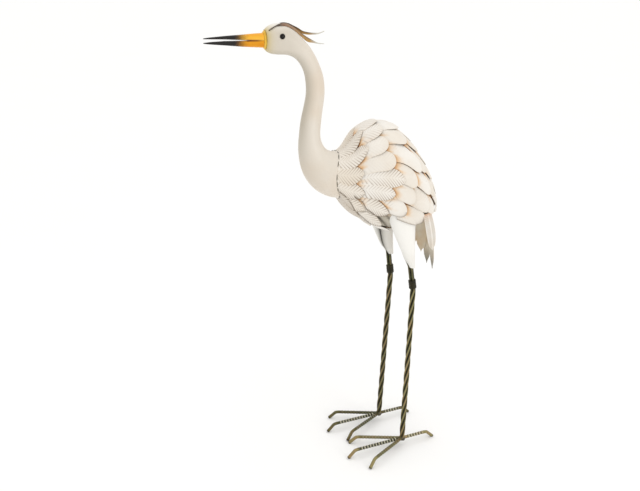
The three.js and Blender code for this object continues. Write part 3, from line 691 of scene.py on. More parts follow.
class Leaf:
    """One feather of a row: where it lies, its outline and its barbs."""

    # Halvings that find where a barb meets the leaf's edge
    HALVINGS = 40

    def __init__(self, row, angle, reach, place, width=FEATHER_WIDTH):
        self.row = row
        self.width = width
        self.angle = math.radians(angle)
        self.reach = reach
        self.root = FEATHER_ROWS[row]["root"]
        self.lift = FEATHER_ROWS[row]["lift"]
        self.place = place
        barbed = row < len(BARBED_FROM) and abs(angle) > BARBED_FROM[row]
        self.tip = POINTED_TIP if barbed and row < 2 else ROUND_TIP
        self.depth = BARB_DEPTH if barbed else FAINT_BARB_DEPTH
        near_back = row == 1 and abs(angle) < BACK_ANGLE
        self.brown = GROOVE_SHADE["barbed" if barbed else "back" if near_back else "plain"]

    def half_width(self, arc):
        return self.width / 2 * tip_width(self.reach - arc, self.tip)

    def barb_lines(self):
        """Arc along the quill, barb angle and barb length of every line of points across the leaf."""
        count = int((self.reach - self.root) / BARB_SPACING * BARB_STEPS)
        along = self.reach - np.arange(count, -1, -1) * BARB_SPACING / BARB_STEPS
        share = rising(along, self.root, BARB_TURN if self.row else FIRST_BARB_TURN)
        near_tip = clamp((along - self.reach + BARB_TURN) / BARB_TURN)
        angle = BARB_ANGLE_ROOT + (BARB_ANGLE - BARB_ANGLE_ROOT) * share
        angle = np.radians(angle + (BARB_ANGLE_TIP - BARB_ANGLE) * near_tip)
        low, high = np.zeros_like(along), np.full_like(along, 2 * FEATHER_WIDTH)
        for _ in range(self.HALVINGS):
            middle = (low + high) / 2
            outside = middle * np.sin(angle) > self.half_width(along + middle * np.cos(angle))
            high = np.where(outside, middle, high)
            low = np.where(outside, low, middle)
        return along, angle, low

    def outward(self, width_share):
        """Share of the half width towards the edge that stands off."""
        if abs(self.angle) < MIDDLE_ANGLE:
            return np.abs(width_share)
        if abs(self.angle) > math.pi - MIDDLE_ANGLE:
            return -np.abs(width_share)
        return width_share * np.sign(self.angle)

    def height(self, arc, share, width_share):
        """Height of the bent sheet over the body, without its barbs."""
        height = ROOT_LIFT + self.lift * share ** LIFT_POWER
        flatter = np.sqrt(clamp((self.reach - arc) / FLAT_TIP))
        crown = FEATHER_CROWN * (1 - width_share ** 2) * np.minimum(1, CROWN_GROWTH * share) * flatter
        tilt = FEATHER_TILT * self.outward(width_share) * np.minimum(1, TILT_GROWTH * share)
        return height + crown + tilt

    def groove(self, along, offset, arc, share):
        """Depth of the pressed barbs, from 0 to 1."""
        phase = (self.reach - along)[:, None] / BARB_SPACING
        wave = 0.5 + 0.5 * np.cos(2 * math.pi * phase)
        fade = clamp(np.abs(BOTH_SIDES) / GROOVE_FULL) ** GROOVE_GROWTH
        fade = GROOVE_START + (1 - GROOVE_START) * fade
        fade = fade * clamp(np.abs(offset) / QUILL_CLEARANCE) * clamp((self.reach - arc) / GROOVE_END_FADE)
        groove = wave ** GROOVE_SHARPNESS * fade
        if self.row == 2:
            groove = groove * fading(share, BARBED_SHARE, BARBED_FADE)
        return groove

    def belly_edges(self, angle, arc):
        """Painted shadow lines along the open edges under the belly, and grey painted shade below the first
        of them.
        """
        rate = BODY.girth_rate(self.angle, np.clip(arc, *GIRTH_ARCS))
        line = np.zeros_like(arc)
        for place, edge in enumerate(BELLY_EDGES):
            arcs, angles = np.array(edge, float).T
            below = np.abs(angle) - np.radians(np.interp(arc, arcs, angles))
            along = (arc >= arcs[0]) & (arc <= arcs[-1])
            line = np.maximum(line, np.exp(-((below * rate / BELLY_LINE_WIDTH) ** 2)) * along)
            if place == 0:
                line = np.maximum(line, BELLY_SHADE * (below > 0) * (arc < arcs[-1]))
        return line

    def colours(self, angle, arc, outward, from_edge, cover):
        """Values of the paint, orange and painted shade, that depend on the rows above and on the leaf's
        edge.
        """
        covered, notch = cover.at(angle, arc)
        beyond = np.maximum(arc - covered, 0)
        # Painted shadow line just beyond the edges of the row above, darker under the body
        under = rising(np.abs(np.degrees(angle)), *UNDER_ANGLES)
        line = np.exp(-beyond / LINE_REACH) * (LINE_DARK + LINE_DARKER_UNDER * under) * (self.row != 0)
        if self.row < 2:
            notch = notch * (np.abs(angle) < math.radians(NOTCH_END_ANGLE))
            line = np.maximum(line, self.belly_edges(angle, arc))
        # Painted shade along the edge of leaves that hang under the body, and on the hidden side
        hangs = rising(abs(math.degrees(self.angle)), *HANG_ANGLES) * (outward > 0)
        hanging = HANGING_EDGE_DARK * hangs * np.exp(-from_edge / HANGING_EDGE_WIDTH)
        return {
            "orange": notch * np.exp(-beyond / ORANGE_REACH),
            # Painted shade in the deepest part of each notch
            "dark": notch * np.exp(-beyond / DARK_REACH),
            # Brown leaf edge, airbrushed and partly painted shade
            "edge": np.exp(-from_edge / EDGE_WIDTH) * EDGE_BROWN,
            "line": (np.maximum(line, hanging), UNDERSIDE_SHADE),
            "leaf": ROW_WARMTH[self.row] + LEAF_WARMTH * leaf_tone(self.row, self.place),
        }

    def build(self, shape, cover):
        along, barb_angle, barb_length = self.barb_lines()
        arc = along[:, None] + np.abs(BOTH_SIDES) * (barb_length * np.cos(barb_angle))[:, None]
        offset = BOTH_SIDES * (barb_length * np.sin(barb_angle))[:, None]
        angle = self.angle + offset / BODY.girth_rate(self.angle, np.clip(arc, *GIRTH_ARCS))
        start = max(self.root, 0)
        share = clamp((arc - start) / (self.reach - start))
        width_share = offset / (self.width / 2)
        groove = self.groove(along, offset, arc, share)
        quill = np.exp(-((offset / QUILL_WIDTH) ** 2)) * np.clip((self.reach - arc) / QUILL_TAPER, 0.1, 1)
        low = self.height(arc, share, width_share) - self.depth * groove + QUILL_HEIGHT * quill
        upper, lower = (
            over_thighs(BODY.points(angle, arc, low + step), THIGH_CLEARANCE + step)
            for step in (FEATHER_THICKNESS, 0)
        )
        from_edge = barb_length[:, None] * (1 - np.abs(BOTH_SIDES))
        colours = self.colours(angle, arc, self.outward(width_share), from_edge, cover)
        # The groove value carries the painted shade in the barb grooves
        shape.add_sheet(upper, lower, groove=groove * self.brown, **colours)


def leaf_tone(row, place):
    """A steady tone of its own for each feather, from 0 to 1."""
    return (math.sin(12.9 * row + 4.7 * place) * 43.7) % 1


class Cover:
    """How far along the body the rows so far reach, by angle."""

    DEGREES = np.arange(-180, 180, 1.0)
    WINDOW = 17
    # A notch counts from this depth on, and is full this much deeper
    NOTCH_START = 4
    NOTCH_DEPTH = 11

    def __init__(self, reach=0.0):
        self.reach = np.zeros(len(self.DEGREES)) + reach

    def add(self, leaf):
        for arc in np.arange(leaf.root, leaf.reach, 1.0):
            half = leaf.half_width(arc) / float(BODY.girth_rate(leaf.angle, max(arc, GIRTH_ARCS[0])))
            off = (self.DEGREES - math.degrees(leaf.angle) + 180) % 360 - 180
            inside = np.abs(off) <= math.degrees(half)
            self.reach = np.where(inside, np.maximum(self.reach, arc), self.reach)

    def at(self, angle, arc):
        """Reach of the rows over this one, and how deep a notch between their tips it is, from 0 to 1."""
        highest = np.max([np.roll(self.reach, step) for step in range(-self.WINDOW, self.WINDOW + 1)], axis=0)
        notch = clamp((highest - self.reach - self.NOTCH_START) / self.NOTCH_DEPTH)
        place = (np.degrees(angle) + 180) % 360
        return (np.interp(place, self.DEGREES + 180, row, period=360) for row in (self.reach, notch))


def leaves_of(row, tips):
    """The feathers of a row, on both sides of the back."""
    made = []
    for angle, reach, *width in tips:
        sides = (1,) if angle % 180 == 0 else (-1, 1)
        made += [Leaf(row, side * angle, reach, len(made) + (side > 0), *width) for side in sides]
    return made


def leaf_piece(name, node, leaves, cover, paint):
    """One piece of leaves that lie under the rows so far, and then cover the rows to come."""
    shape = Shape()
    for leaf in leaves:
        leaf.build(shape, cover)
    for leaf in leaves:
        cover.add(leaf)
    shape.piece(name, paint, "feather_paint", [node])


def feathers(paint):
    """All rows, and then the long leaves under the belly, which lie under the first two rows."""
    cover = Cover()
    for row, data in enumerate(FEATHER_ROWS):
        leaves = leaves_of(row, data["tips"])
        leaf_piece(f"feathers_{row + 1}", f"feather_row_{row + 1}", leaves, cover, paint)
        if row == 1:
            belly_cover = Cover(cover.reach)
    for place, data in enumerate(BELLY_FEATHERS):
        leaf = Leaf(2, *data["tips"][0], place)
        leaf.root, leaf.lift = data["root"], data["lift"]
        leaf_piece(f"belly_leaf_{place + 1}", f"belly_feather_{place + 1}", [leaf], belly_cover, paint)


BODY_GRID = (220, 144)
SKIN_INSET = 0.6
# The skin turns grey, painted shade under the belly, below this height, over this fall
GREY_Z = 612
GREY_FALL = 20
# Dark slanting stripes of painted shadow on the belly sheet between the thighs
SHADE_STRIPE_SPACING = 18
SHADE_STRIPE_SHARPNESS = 6
# The cream rim ends at three of these shares of the body's length
RIM_SHARE = 0.02


def body_skin(paint):
    """Closed sheet body under the feathers."""
    rings, sides = BODY_GRID
    share, angle = np.meshgrid(np.linspace(0, 1, rings), circle(sides), indexing="ij")
    normals = normals_of(body_points, np.minimum(share, 0.995), angle)
    points = body_points(share, angle) - normals * SKIN_INSET
    # Painted shade under the belly: grey below a height
    low = clamp((GREY_Z - points[..., 2]) / GREY_FALL)
    # Painted shadow: dark slanting stripes low on the belly sheet
    slant = 2 * math.pi * (points[..., 0] + points[..., 2]) / SHADE_STRIPE_SPACING
    line = low * (0.5 + 0.5 * np.cos(slant)) ** SHADE_STRIPE_SHARPNESS
    shape = Shape().add_tube(points, low=low, rim=clamp(3 - share / RIM_SHARE), line=line)
    shape.piece("body_skin", paint, "white_paint", ["body_shell"])


NECK_GRID = (261, 112)
HEAD_FRONT_X = -143
OLIVE_SPREAD = 7
# How strong the painted shade is under the throat and on the front of the head
THROAT_SHADE = 0.85
HEAD_SHADE = 0.35


def neck(paint):
    """Head and neck, one smooth skin, with painted shade, grey, along the throat and on the front of the
    head, painted light, white, on the crown, and olive at the collar.
    """
    rings, sides = NECK_GRID
    share, angle = np.meshgrid(np.linspace(0, 1, rings), circle(sides), indexing="ij")
    points = neck_points(share, angle)
    # Painted shade: grey under the throat and on the front of the head
    shade = THROAT_SHADE * clamp(-np.cos(angle)) ** 2 * fading(share, 0.9, 0.25)
    shade = np.maximum(shade, HEAD_SHADE * fading(share, 0.34, 0.12))
    # Painted light: white on the crown, the top of the head
    crown = clamp(np.cos(angle)) ** 4 * fading(share, 0.25, 0.1)
    olive = 0.9 * np.exp(-(points[..., 0] - HEAD_FRONT_X) / OLIVE_SPREAD) * (share < 0.3)
    shape = Shape().add_tube(points, shade=shade, crown=crown, olive=olive)
    shape.piece("neck_skin", paint, "cream_paint", ["neck_and_head"])


def tube(path, radius, sides, side=None):
    """Rings of points round a path."""
    ahead = unit(np.gradient(path, axis=0))
    if side is None:
        upright = np.abs(ahead[:, 2]).max() >= 0.95
        side = unit(np.cross(ahead, [0.0, 1.0, 0.0] if upright else [0.0, 0.0, 1.0]))
    rise = np.cross(side, ahead)
    turn = circle(sides)[:, None]
    radius = np.broadcast_to(radius, (len(path),))[:, None, None]
    return path[:, None] + radius * (np.cos(turn) * side[:, None] + np.sin(turn) * rise[:, None])


# Bill
BILL_BASE_X = -147.7
BILL_TIP_X = -265
BILL_HALF_WIDTH = 10.5
BILL_TIP_HALF_WIDTH = 0.9
BILL_TAPER = 0.8
BILL_ROUNDNESS = 0.8
# Each mandible: [share of its length, low z, high z]
UPPER_MANDIBLE = [
    [0, 967, 980.6], [0.15, 967.2, 980], [0.34, 968.6, 978.6], [0.65, 970.7, 976.9],
    [0.9, 971.6, 974.9], [1, 972, 973.6],
]
LOWER_MANDIBLE = [
    [0, 953, 966.8], [0.15, 954.2, 966.9], [0.34, 955.8, 966.8], [0.65, 959.4, 967.4],
    [0.9, 962.1, 966.4], [1, 963.6, 965.2],
]
BLACK_START = {"beak_upper": 0.13, "beak_lower": 0.14}
BLACK_FADE = 0.46
# The brown of the slit, painted shade where the mandibles meet, fades out over this height, and ends at this
# share of the length
SLIT_HEIGHT = 1.2
SLIT_END = 0.3


def mandible(name, outline, arched_up, paint):
    """Half of the bill: flat where it faces the other half and round outside."""
    shares = np.linspace(0, 1, 70)[:, None]
    table = np.array(outline, float)
    low, high = (np.interp(shares, table[:, 0], table[:, column]) for column in (1, 2))
    half = np.maximum(BILL_TIP_HALF_WIDTH, BILL_HALF_WIDTH * (1 - shares) ** BILL_TAPER)
    flat, crest = (low, high) if arched_up else (high, low)
    turn = np.linspace(0, math.pi, 25)
    lift = np.sin(turn) ** BILL_ROUNDNESS
    x = BILL_BASE_X + (BILL_TIP_X - BILL_BASE_X) * shares
    # Painted shade in the slit where the mandibles meet
    slit = np.exp(-((lift * np.abs(crest - flat) / SLIT_HEIGHT) ** 2))
    slit = slit * (np.clip(shares / 0.12, 0.2, 1) * (shares < SLIT_END))
    black = clamp((shares - BLACK_START[name]) / BLACK_FADE)
    points = join(x, half * np.cos(turn), flat + (crest - flat) * lift)
    shape = Shape().add_tube(points, black=black, slit=slit, low=0.0 if arched_up else 1.0)
    shape.piece(name + "_bill", paint, "bill_paint", [name])


COLLAR_FRONT_X = -147.3
COLLAR_BACK_X = -142.6
COLLAR_HALF_HEIGHT = 19
COLLAR_HALF_WIDTH = 15
COLLAR_Z = 967.6
# Size of the ring at shares of its depth: a short cone from the bill to the head
COLLAR_PROFILE = [[0, 0.4, 0.75, 0.92, 1], [0.75, 0.87, 0.98, 1, 0.98]]


def collar(paint):
    """Short cone of sheet between head and bill."""
    along = np.linspace(0, 1, 15)[:, None]
    size = np.interp(along, *COLLAR_PROFILE)
    turn = circle(64)
    x = COLLAR_FRONT_X + (COLLAR_BACK_X - COLLAR_FRONT_X) * along
    z = COLLAR_Z + COLLAR_HALF_HEIGHT * size * np.cos(turn)
    points = join(x, COLLAR_HALF_WIDTH * size * np.sin(turn), z)
    shape = Shape().add_tube(points, rear=rising(along, 0.5, 0.3))
    shape.piece("collar_ring", paint, "collar_paint", ["beak_collar"])


EYE_RADIUS = 5.4
EYE_DOME = 3
EYE_PLACE = [-115.5, 24.4, 974.4]


def eye(side, word, paint):
    """Low dome on the side of the head."""
    rise = np.linspace(0, math.pi / 2, 14)[:-1, None]
    turn = circle(40)
    x, y, z = EYE_PLACE
    ring = EYE_RADIUS * np.cos(rise)
    y = side * (y + EYE_DOME * np.sin(rise))
    shape = Shape().add_tube(join(x + ring * np.cos(turn), y, z + ring * np.sin(turn)))
    shape.piece(f"eye_dome_{word}", paint, "eye_enamel", [f"eye_{word}"])


# Crest strips: [x, distance from the middle and z of the inner edge, the same two of the outer edge]
LEFT_PLUME = [
    [-139.5, 12.9, 985.6, 14.2, 984.2], [-132.5, 14.2, 990.3, 15.7, 988.6], [-124, 12.6, 994.2, 14.7, 992.4],
    [-116, 9.4, 996.8, 14.5, 993], [-107, 3.5, 997.8, 13.5, 992.6], [-97, 0.8, 996.2, 12, 990.2],
    [-87, 0.8, 991.6, 10, 985], [-76, 0.8, 984.4, 8.8, 976.3], [-66, 0.8, 976.8, 8, 967.6],
    [-56, 0.8, 970.4, 6.8, 961.2], [-44, 0.8, 963.8, 4.8, 958.9], [-32, 0.8, 958.4, 2.8, 956.4],
    [-18.5, 0.8, 956.3, 1.6, 955.4],
]
RIGHT_PLUME = [
    [-139.5, 13.5, 985.2, 14.8, 983.6], [-132.5, 15.5, 987.8, 17, 985.8], [-124, 16, 990.4, 18, 987.8],
    [-114, 11, 995.8, 16, 991.6], [-104, 3.5, 998.2, 11.5, 993.2], [-94, 0.8, 996.8, 9, 990.5],
    [-84, 0.8, 992.6, 7, 986], [-73, 0.8, 987.4, 5, 981.6], [-64, 0.8, 982, 4, 977],
    [-54, 0.8, 979.2, 4, 974.6], [-42, 0.8, 977.5, 4, 974], [-29, 0.8, 977.2, 3.5, 974.6],
    [-16, 0.8, 980.7, 2, 979.2],
]
PLUME_THICKNESS = 1
PLUME_LIFT = 0.4
PLUME_CROWN = 0.35


def plume(side, word, line, paint):
    """A strip of sheet that lies on the crown and stands off free behind the head."""
    shares = np.linspace(0, 1, 110)
    x, inner_y, inner_z, outer_y, outer_z = smooth_rows(line, shares).T
    inner = join(x, side * inner_y, inner_z)
    outer = join(x, side * outer_y, outer_z)
    along = unit(np.gradient(inner + outer, axis=0))
    face = unit(np.cross(along, side * (outer - inner)))[:, None]
    across = np.linspace(0, 1, 9)
    middle = inner[:, None] + (outer - inner)[:, None] * across[:, None]
    crown = PLUME_CROWN * np.sin(math.pi * across)
    top = middle + face * (PLUME_LIFT + PLUME_THICKNESS - PLUME_CROWN + crown)[:, None]
    share = shares[:, None]
    shape = Shape().add_sheet(
        top, middle + face * PLUME_LIFT,
        dark=0.9 * np.maximum(fading(share, 0.34, 0.1), np.exp(-across / 0.16)),
        pale=rising(share, 0.78, 0.12),
        gold=rising(share, 0.45, 0.15) * clamp(across / 0.5),
    )
    shape.piece(f"crest_strip_{word}", paint, "crest_paint", [f"crest_plume_{word}"])


# Two blades hang left of the middle and three right of it. "drop" is how far a tip is below the roots
TAIL_BLADES = [
    {"angle": -110.9, "bearing": -73, "drop": 96, "width": 33, "taper": 0.2},
    {"angle": -12, "bearing": -13, "drop": 159},
    {"angle": 30, "bearing": 20, "drop": 155, "width": 24},
    {"angle": 58, "bearing": 38, "drop": 129},
    {"angle": 82, "bearing": 56, "drop": 107},
]
TAIL_ROOT_Z = 592
TAIL_ROOT_HEIGHT = 2
TAIL_WIDTH = 29
TAIL_THICKNESS = 1.1
TAIL_TIP_OVAL = {"x": 218, "long": 43, "wide": 50}
TAIL_STAGGER = 2
TAIL_BOW = 3
TAIL_CROWN = 1.6
TAIL_OUTLINE = [[0, 0.8], [0.3, 0.96], [0.62, 1], [0.86, 0.7], [1, 0.02]]
TAIL_BARB_SLANT = 0.9
TAIL_BARB_DEPTH = 0.3
TAIL_QUILL_HEIGHT = 0.5
TAIL_POINT_SHARE = 0.14
# Blades that hang down further than this have grey tips
GREY_TIP_DROP = 140


def share_at_height(angle, z):
    """Share of the body's length where one angle of its surface comes down to a height."""
    shares = np.linspace(1, 0, 121)
    heights = body_points(shares, angle)[:, 2]
    return shares[int(np.argmax(heights >= z))]


def blade_half_width(along, blade):
    """Half width of a tail blade along its length, which ends in a point."""
    table = np.array(TAIL_OUTLINE)
    half = smooth_rows(table, np.interp(along, table[:, 0], np.linspace(0, 1, len(table))))[:, 1]
    half = half * blade.get("width", TAIL_WIDTH) / 2 * (1 - blade.get("taper", 0) * along)
    return half * (1 - rising(along, 1 - TAIL_POINT_SHARE, TAIL_POINT_SHARE) ** 2) ** 0.6


def tail_blade(place, blade, paint):
    """One long blade, from the body down to its tip, turning to face the tip's own way."""
    angle = np.array(math.radians(blade["angle"]))
    share = np.array(share_at_height(angle, TAIL_ROOT_Z))
    normal = normals_of(body_points, share, angle)
    root = body_points(share, angle) + normal * TAIL_ROOT_HEIGHT
    face_root = unit(normal * [1, 1, 0])
    turn = math.radians(blade["bearing"])
    face_tip = np.array([math.cos(turn), math.sin(turn), 0.0])
    oval = TAIL_TIP_OVAL
    tip = np.array([oval["x"], 0, TAIL_ROOT_Z - blade["drop"]]) + face_tip * [oval["long"], oval["wide"], 0]
    along = np.linspace(0, 1, 110)
    half = blade_half_width(along, blade)
    outward = unit(face_root + (face_tip - face_root) * along[:, None])
    sideways = join(-outward[:, 1], outward[:, 0], 0.0)
    bow = TAIL_STAGGER * (-1 if place % 2 else 1) + TAIL_BOW * np.sin(math.pi * along)
    centre = root + (tip - root) * along[:, None] + outward * bow[:, None]
    offset = BOTH_SIDES * np.maximum(half, 0.3)[:, None]
    from_quill = np.abs(offset)
    travelled = along[:, None] * np.linalg.norm(tip - root)
    wave = 0.5 - 0.5 * np.cos(2 * math.pi * (travelled + TAIL_BARB_SLANT * from_quill) / BARB_SPACING)
    fade = rising(from_quill, 1, 2) * clamp((half[:, None] - from_quill) / 2)
    groove = wave * fade
    quill = np.exp(-((from_quill / QUILL_WIDTH) ** 2))
    crown = TAIL_CROWN * (1 - np.abs(BOTH_SIDES)) * (half / half.max())[:, None]
    height = crown - TAIL_BARB_DEPTH * groove + TAIL_QUILL_HEIGHT * quill
    middle = centre[:, None] + sideways[:, None] * offset[..., None]
    down = along[:, None]
    shape = Shape().add_sheet(
        middle + outward[:, None] * (height + TAIL_THICKNESS)[..., None],
        middle + outward[:, None] * crown[..., None],
        inside=(rising(down, 0.72, 0.3) * 0.55, 1.0),
        groove=(groove, 0.0),
        orange=np.exp(-down / 0.07) * 0.8,
        tip=rising(down, 0.7, 0.25) * (blade["drop"] > GREY_TIP_DROP),
    )
    shape.piece(f"tail_blade_{place + 1}", paint, "feather_paint", [f"tail_feather_{place + 1}"])


THIGH_WALL = 0.9
# The seam faces inwards. It is this far round from the rear at the top, and turns forwards on its way down
THIGH_SEAM_ANGLE = 86
THIGH_SEAM_TURN = 74
THIGH_SEAM_GAP = 5
# Painted shade, grey, along the seam fades out on both sides over this angle
THIGH_SEAM_SHADE_ANGLE = 23
THIGH_SEAM_SHADE = 0.95
# Painted shade on the inner face of the sleeve
THIGH_INSIDE_SHADE = 0.75
# Painted shade on the side that faces the other leg, and grey from the bottom up to a share of the length
THIGH_INNER_SHADE = 0.16
THIGH_LOW_GREY = 0.1
THIGH_LOW_GREY_SHARE = 0.3
# Width of the dark line of painted shade beside the seam gap, in radians
SEAM_LINE_ANGLE = 0.09
# The lower edge is cut slanting, up to this share of the length, and rises most in front
THIGH_CUT_SHARE = 0.16
THIGH_CUT_RISE = 8


def thigh(side, word, paint):
    """Rolled sheet sleeve, open below, with a seam along its inner side and a slanted lower edge."""
    shares = np.linspace(0, 1, 60)[:, None]
    x, y, z, long, wide = np.moveaxis(smooth_rows(THIGH_SECTIONS, shares), -1, 0)
    if side == RIGHT:
        fuller = RIGHT_THIGH_FULLER * clamp(shares / 0.25)
        x, long = x - fuller, long + fuller
    gap = math.radians(THIGH_SEAM_GAP)
    turn = np.linspace(gap / 2, 2 * math.pi - gap / 2, 73)
    theta = turn + np.radians(THIGH_SEAM_ANGLE + THIGH_SEAM_TURN * (1 - shares))
    front = -np.cos(theta)
    slant = clamp(1 - shares / THIGH_CUT_SHARE) * (2 + front + THIGH_CUT_RISE * clamp(front) ** 6)
    outer, inner = (
        join(x + (long - inset) * np.cos(theta), side * (y - (wide - inset) * np.sin(theta)), z + slant)
        for inset in (0, THIGH_WALL)
    )
    from_seam = np.minimum(turn, 2 * math.pi - turn)
    # Painted shade: grey on both sides of the seam
    spray_and_shade = THIGH_SEAM_SHADE * np.exp(-from_seam / math.radians(THIGH_SEAM_SHADE_ANGLE))
    low_grey = clamp(1 - shares / THIGH_LOW_GREY_SHARE) * THIGH_LOW_GREY
    # Painted shade on the inner side and beside the seam, over the grey low down
    shade = low_grey + np.maximum(spray_and_shade, THIGH_INNER_SHADE * clamp(np.sin(theta)))
    # Painted shade: dark line beside the seam gap, and darker on the inner face
    shape = Shape().add_sheet(
        outer, inner, shade=(shade, THIGH_INSIDE_SHADE), line=(np.exp(-from_seam / SEAM_LINE_ANGLE), 0.0),
    )
    shape.piece(f"thigh_sleeve_{word}", paint, "white_paint", [f"thigh_{word}"])


# Middle of a leg: [x, y, z] at the thigh, at the bend under the knee wrap and at the ankle
LEG_LINE = [[175, 52, 461], [182.6, 53.6, 408], [166, 60.5, 15.2]]
STRAND_RADIUS = 2.75
STRANDS = 4
TWIST_PITCH = 140
STRAND_SIDES = 20
# The rods run on into the thigh by this much
LEG_IN_THIGH = 14
# How strongly gold is painted along the outside of the twisted rods, as gold wear and as painted highlight
STRAND_HIGHLIGHT_GOLD = 0.7
RIGHT_LEG_GOLD = 0.7


def leg_centre(z):
    """Middle of the leg at a height."""
    line = np.array(LEG_LINE, float)[::-1]
    return join(np.interp(z, line[:, 2], line[:, 0]), np.interp(z, line[:, 2], line[:, 1]), z)


def leg(side, word, paint):
    """Four rods, straight in the knee and twisted together below it."""
    top, bend, foot = (point[2] for point in LEG_LINE)
    z = np.concatenate([np.linspace(top + LEG_IN_THIGH, bend, 14)[:-1], np.linspace(bend, foot, 190)])
    centre = leg_centre(z) * [1, side, 1]
    centre[:, 0] += np.maximum(0, z - top) * (LEG_LINE[0][0] - LEG_LINE[1][0]) / (top - bend)
    ring = STRAND_RADIUS / math.sin(math.pi / STRANDS)
    twist = 2 * math.pi * (np.minimum(z, bend) - bend) / TWIST_PITCH
    gold_strength = STRAND_HIGHLIGHT_GOLD * (RIGHT_LEG_GOLD if side == RIGHT else 1)
    shape = Shape()
    for strand in range(STRANDS):
        turn = twist + 2 * math.pi * strand / STRANDS
        path = centre + join(ring * np.cos(turn), ring * np.sin(turn), 0.0)
        rings = tube(path, STRAND_RADIUS, STRAND_SIDES)
        inward = np.linalg.norm(rings[..., :2] - centre[:, None, :2], axis=-1)
        # Painted highlight: gold along the outer crest of each rod, standing also as gold wear
        strand_highlight = clamp((inward - ring - 0.72 * STRAND_RADIUS) / (0.26 * STRAND_RADIUS))
        gold = gold_strength * strand_highlight * np.clip((bend + 6 - z) / 8, 0.25, 1)[:, None]
        # Painted shade: dark where each rod turns in towards the others
        shape.add_tube(rings, dark=fading(inward, ring + 1.9, 1.7), gold=gold)
    shape.piece(f"leg_rods_{word}", paint, "bronze_rod", [f"leg_{word}"])


WRAP_TOP = 435
WRAP_HEIGHT = 26
WRAP_TURNS = 5
WRAP_RADIUS = 8.9
WIRE_RADIUS = 2.6
WIRE_DARK = 0.62


def knee_wrap(side, word, paint):
    """Wire wound round the rods."""
    share = np.linspace(0, 1, WRAP_TURNS * 30 + 1)
    turn = 2 * math.pi * WRAP_TURNS * share
    z = WRAP_TOP - WRAP_HEIGHT + WIRE_RADIUS + (WRAP_HEIGHT - 2 * WIRE_RADIUS) * share
    radius = WRAP_RADIUS - WIRE_RADIUS
    path = leg_centre(z) * [1, side, 1] + join(radius * np.cos(turn), radius * np.sin(turn), 0.0)
    shape = Shape().add_tube(tube(path, WIRE_RADIUS, 12), dark=WIRE_DARK)
    shape.piece(f"knee_wire_{word}", paint, "bronze_rod", [f"knee_wrap_{word}"])


TOE_RADIUS = 4.3
TOE_HEIGHT = 19
TOE_END_HEIGHT = 1.7
TOE_DROP_LENGTH = 17
KNUCKLE_LENGTH = 7
KNUCKLE_BEND = [[0, 0.07], [3.5, 0.25]]
TOES = [
    {"name": "toe_middle", "bearing": 180, "length": 128, "gold": 0.05, "ribs": 0.9},
    {"name": "toe_back", "bearing": 0, "length": 70, "gold": 0.7, "ribs": 0.8},
    {"name": "toe_inner", "bearing": 154.4, "length": 112, "gold": 0.4, "ribs": 0.25},
    {"name": "toe_outer", "bearing": 206, "length": 112, "gold": 0.3, "ribs": 0.1},
]
# The right foot is rubbed less
RIGHT_FOOT_GOLD = 0.2
TOE_END_GOLD = {LEFT: 0.7, RIGHT: 0.25}
TOE_START = 3.5
RIB_PITCH = 7.6
RIB_HEIGHT = 0.45
TOE_SIDES = 16


def toe(side, word, data, paint):
    """Ribbed rod, level from the ankle to its knuckle and bent down to the ground."""
    length = data["length"]
    fall = TOE_END_HEIGHT - TOE_HEIGHT
    corners = [[TOE_START, TOE_HEIGHT], [length - KNUCKLE_LENGTH, TOE_HEIGHT]]
    corners += [[length + along, TOE_HEIGHT + fall * share] for along, share in KNUCKLE_BEND]
    corners = np.array(corners + [[length + TOE_DROP_LENGTH, TOE_END_HEIGHT]], float)
    steps = np.concatenate([[0], np.cumsum(np.linalg.norm(np.diff(corners, axis=0), axis=1))])
    knuckle, end = steps[1], steps[-1]
    travelled = np.append(np.arange(0, end, RIB_PITCH / 12), end)
    distance, height = (np.interp(travelled, steps, corners[:, column]) for column in (0, 1))
    turn = math.radians(data["bearing"])
    ahead_x, ahead_y = math.cos(turn), -side * math.sin(turn)
    foot_x, foot_y, _ = LEG_LINE[-1]
    path = join(foot_x + ahead_x * distance, side * foot_y + ahead_y * distance, height)
    across = np.tile([-ahead_y, ahead_x, 0.0], (len(path), 1))
    straight = clamp((knuckle - 4 - travelled) / 6) * rising(travelled, 8, 6)
    wave = np.cos(2 * math.pi * travelled / RIB_PITCH)
    rings = tube(path, TOE_RADIUS - RIB_HEIGHT + RIB_HEIGHT * wave * straight, TOE_SIDES, across)
    rings[..., 2] = np.maximum(rings[..., 2], 0)
    cut_end = np.clip((travelled - end + 3) / 2, 0, 0.7)
    # Painted shade dark in the rib hollows, and painted highlight pale on the rib crests; the cut end is
    # darker too
    dark = np.maximum(data["ribs"] * (0.5 - 0.5 * wave) * straight, cut_end)
    pale = data["ribs"] * (0.5 + 0.5 * wave) ** 3 * straight
    gold_strength = data["gold"] * (RIGHT_FOOT_GOLD if side == RIGHT else 1)
    gold = np.maximum(gold_strength, TOE_END_GOLD[side] * clamp((travelled - knuckle + 6) / 8))
    shape = Shape().add_tube(rings, dark=dark[:, None], gold=gold[:, None], pale=pale[:, None])
    name = data["name"]
    shape.piece(f"{name}_rod_{word}", paint, "bronze_rod", [f"{name}_{word}"])


BEAD_RADIUS = 8.2
BEAD_HALF_HEIGHT = 6.2
BEAD_RISE = 3.4


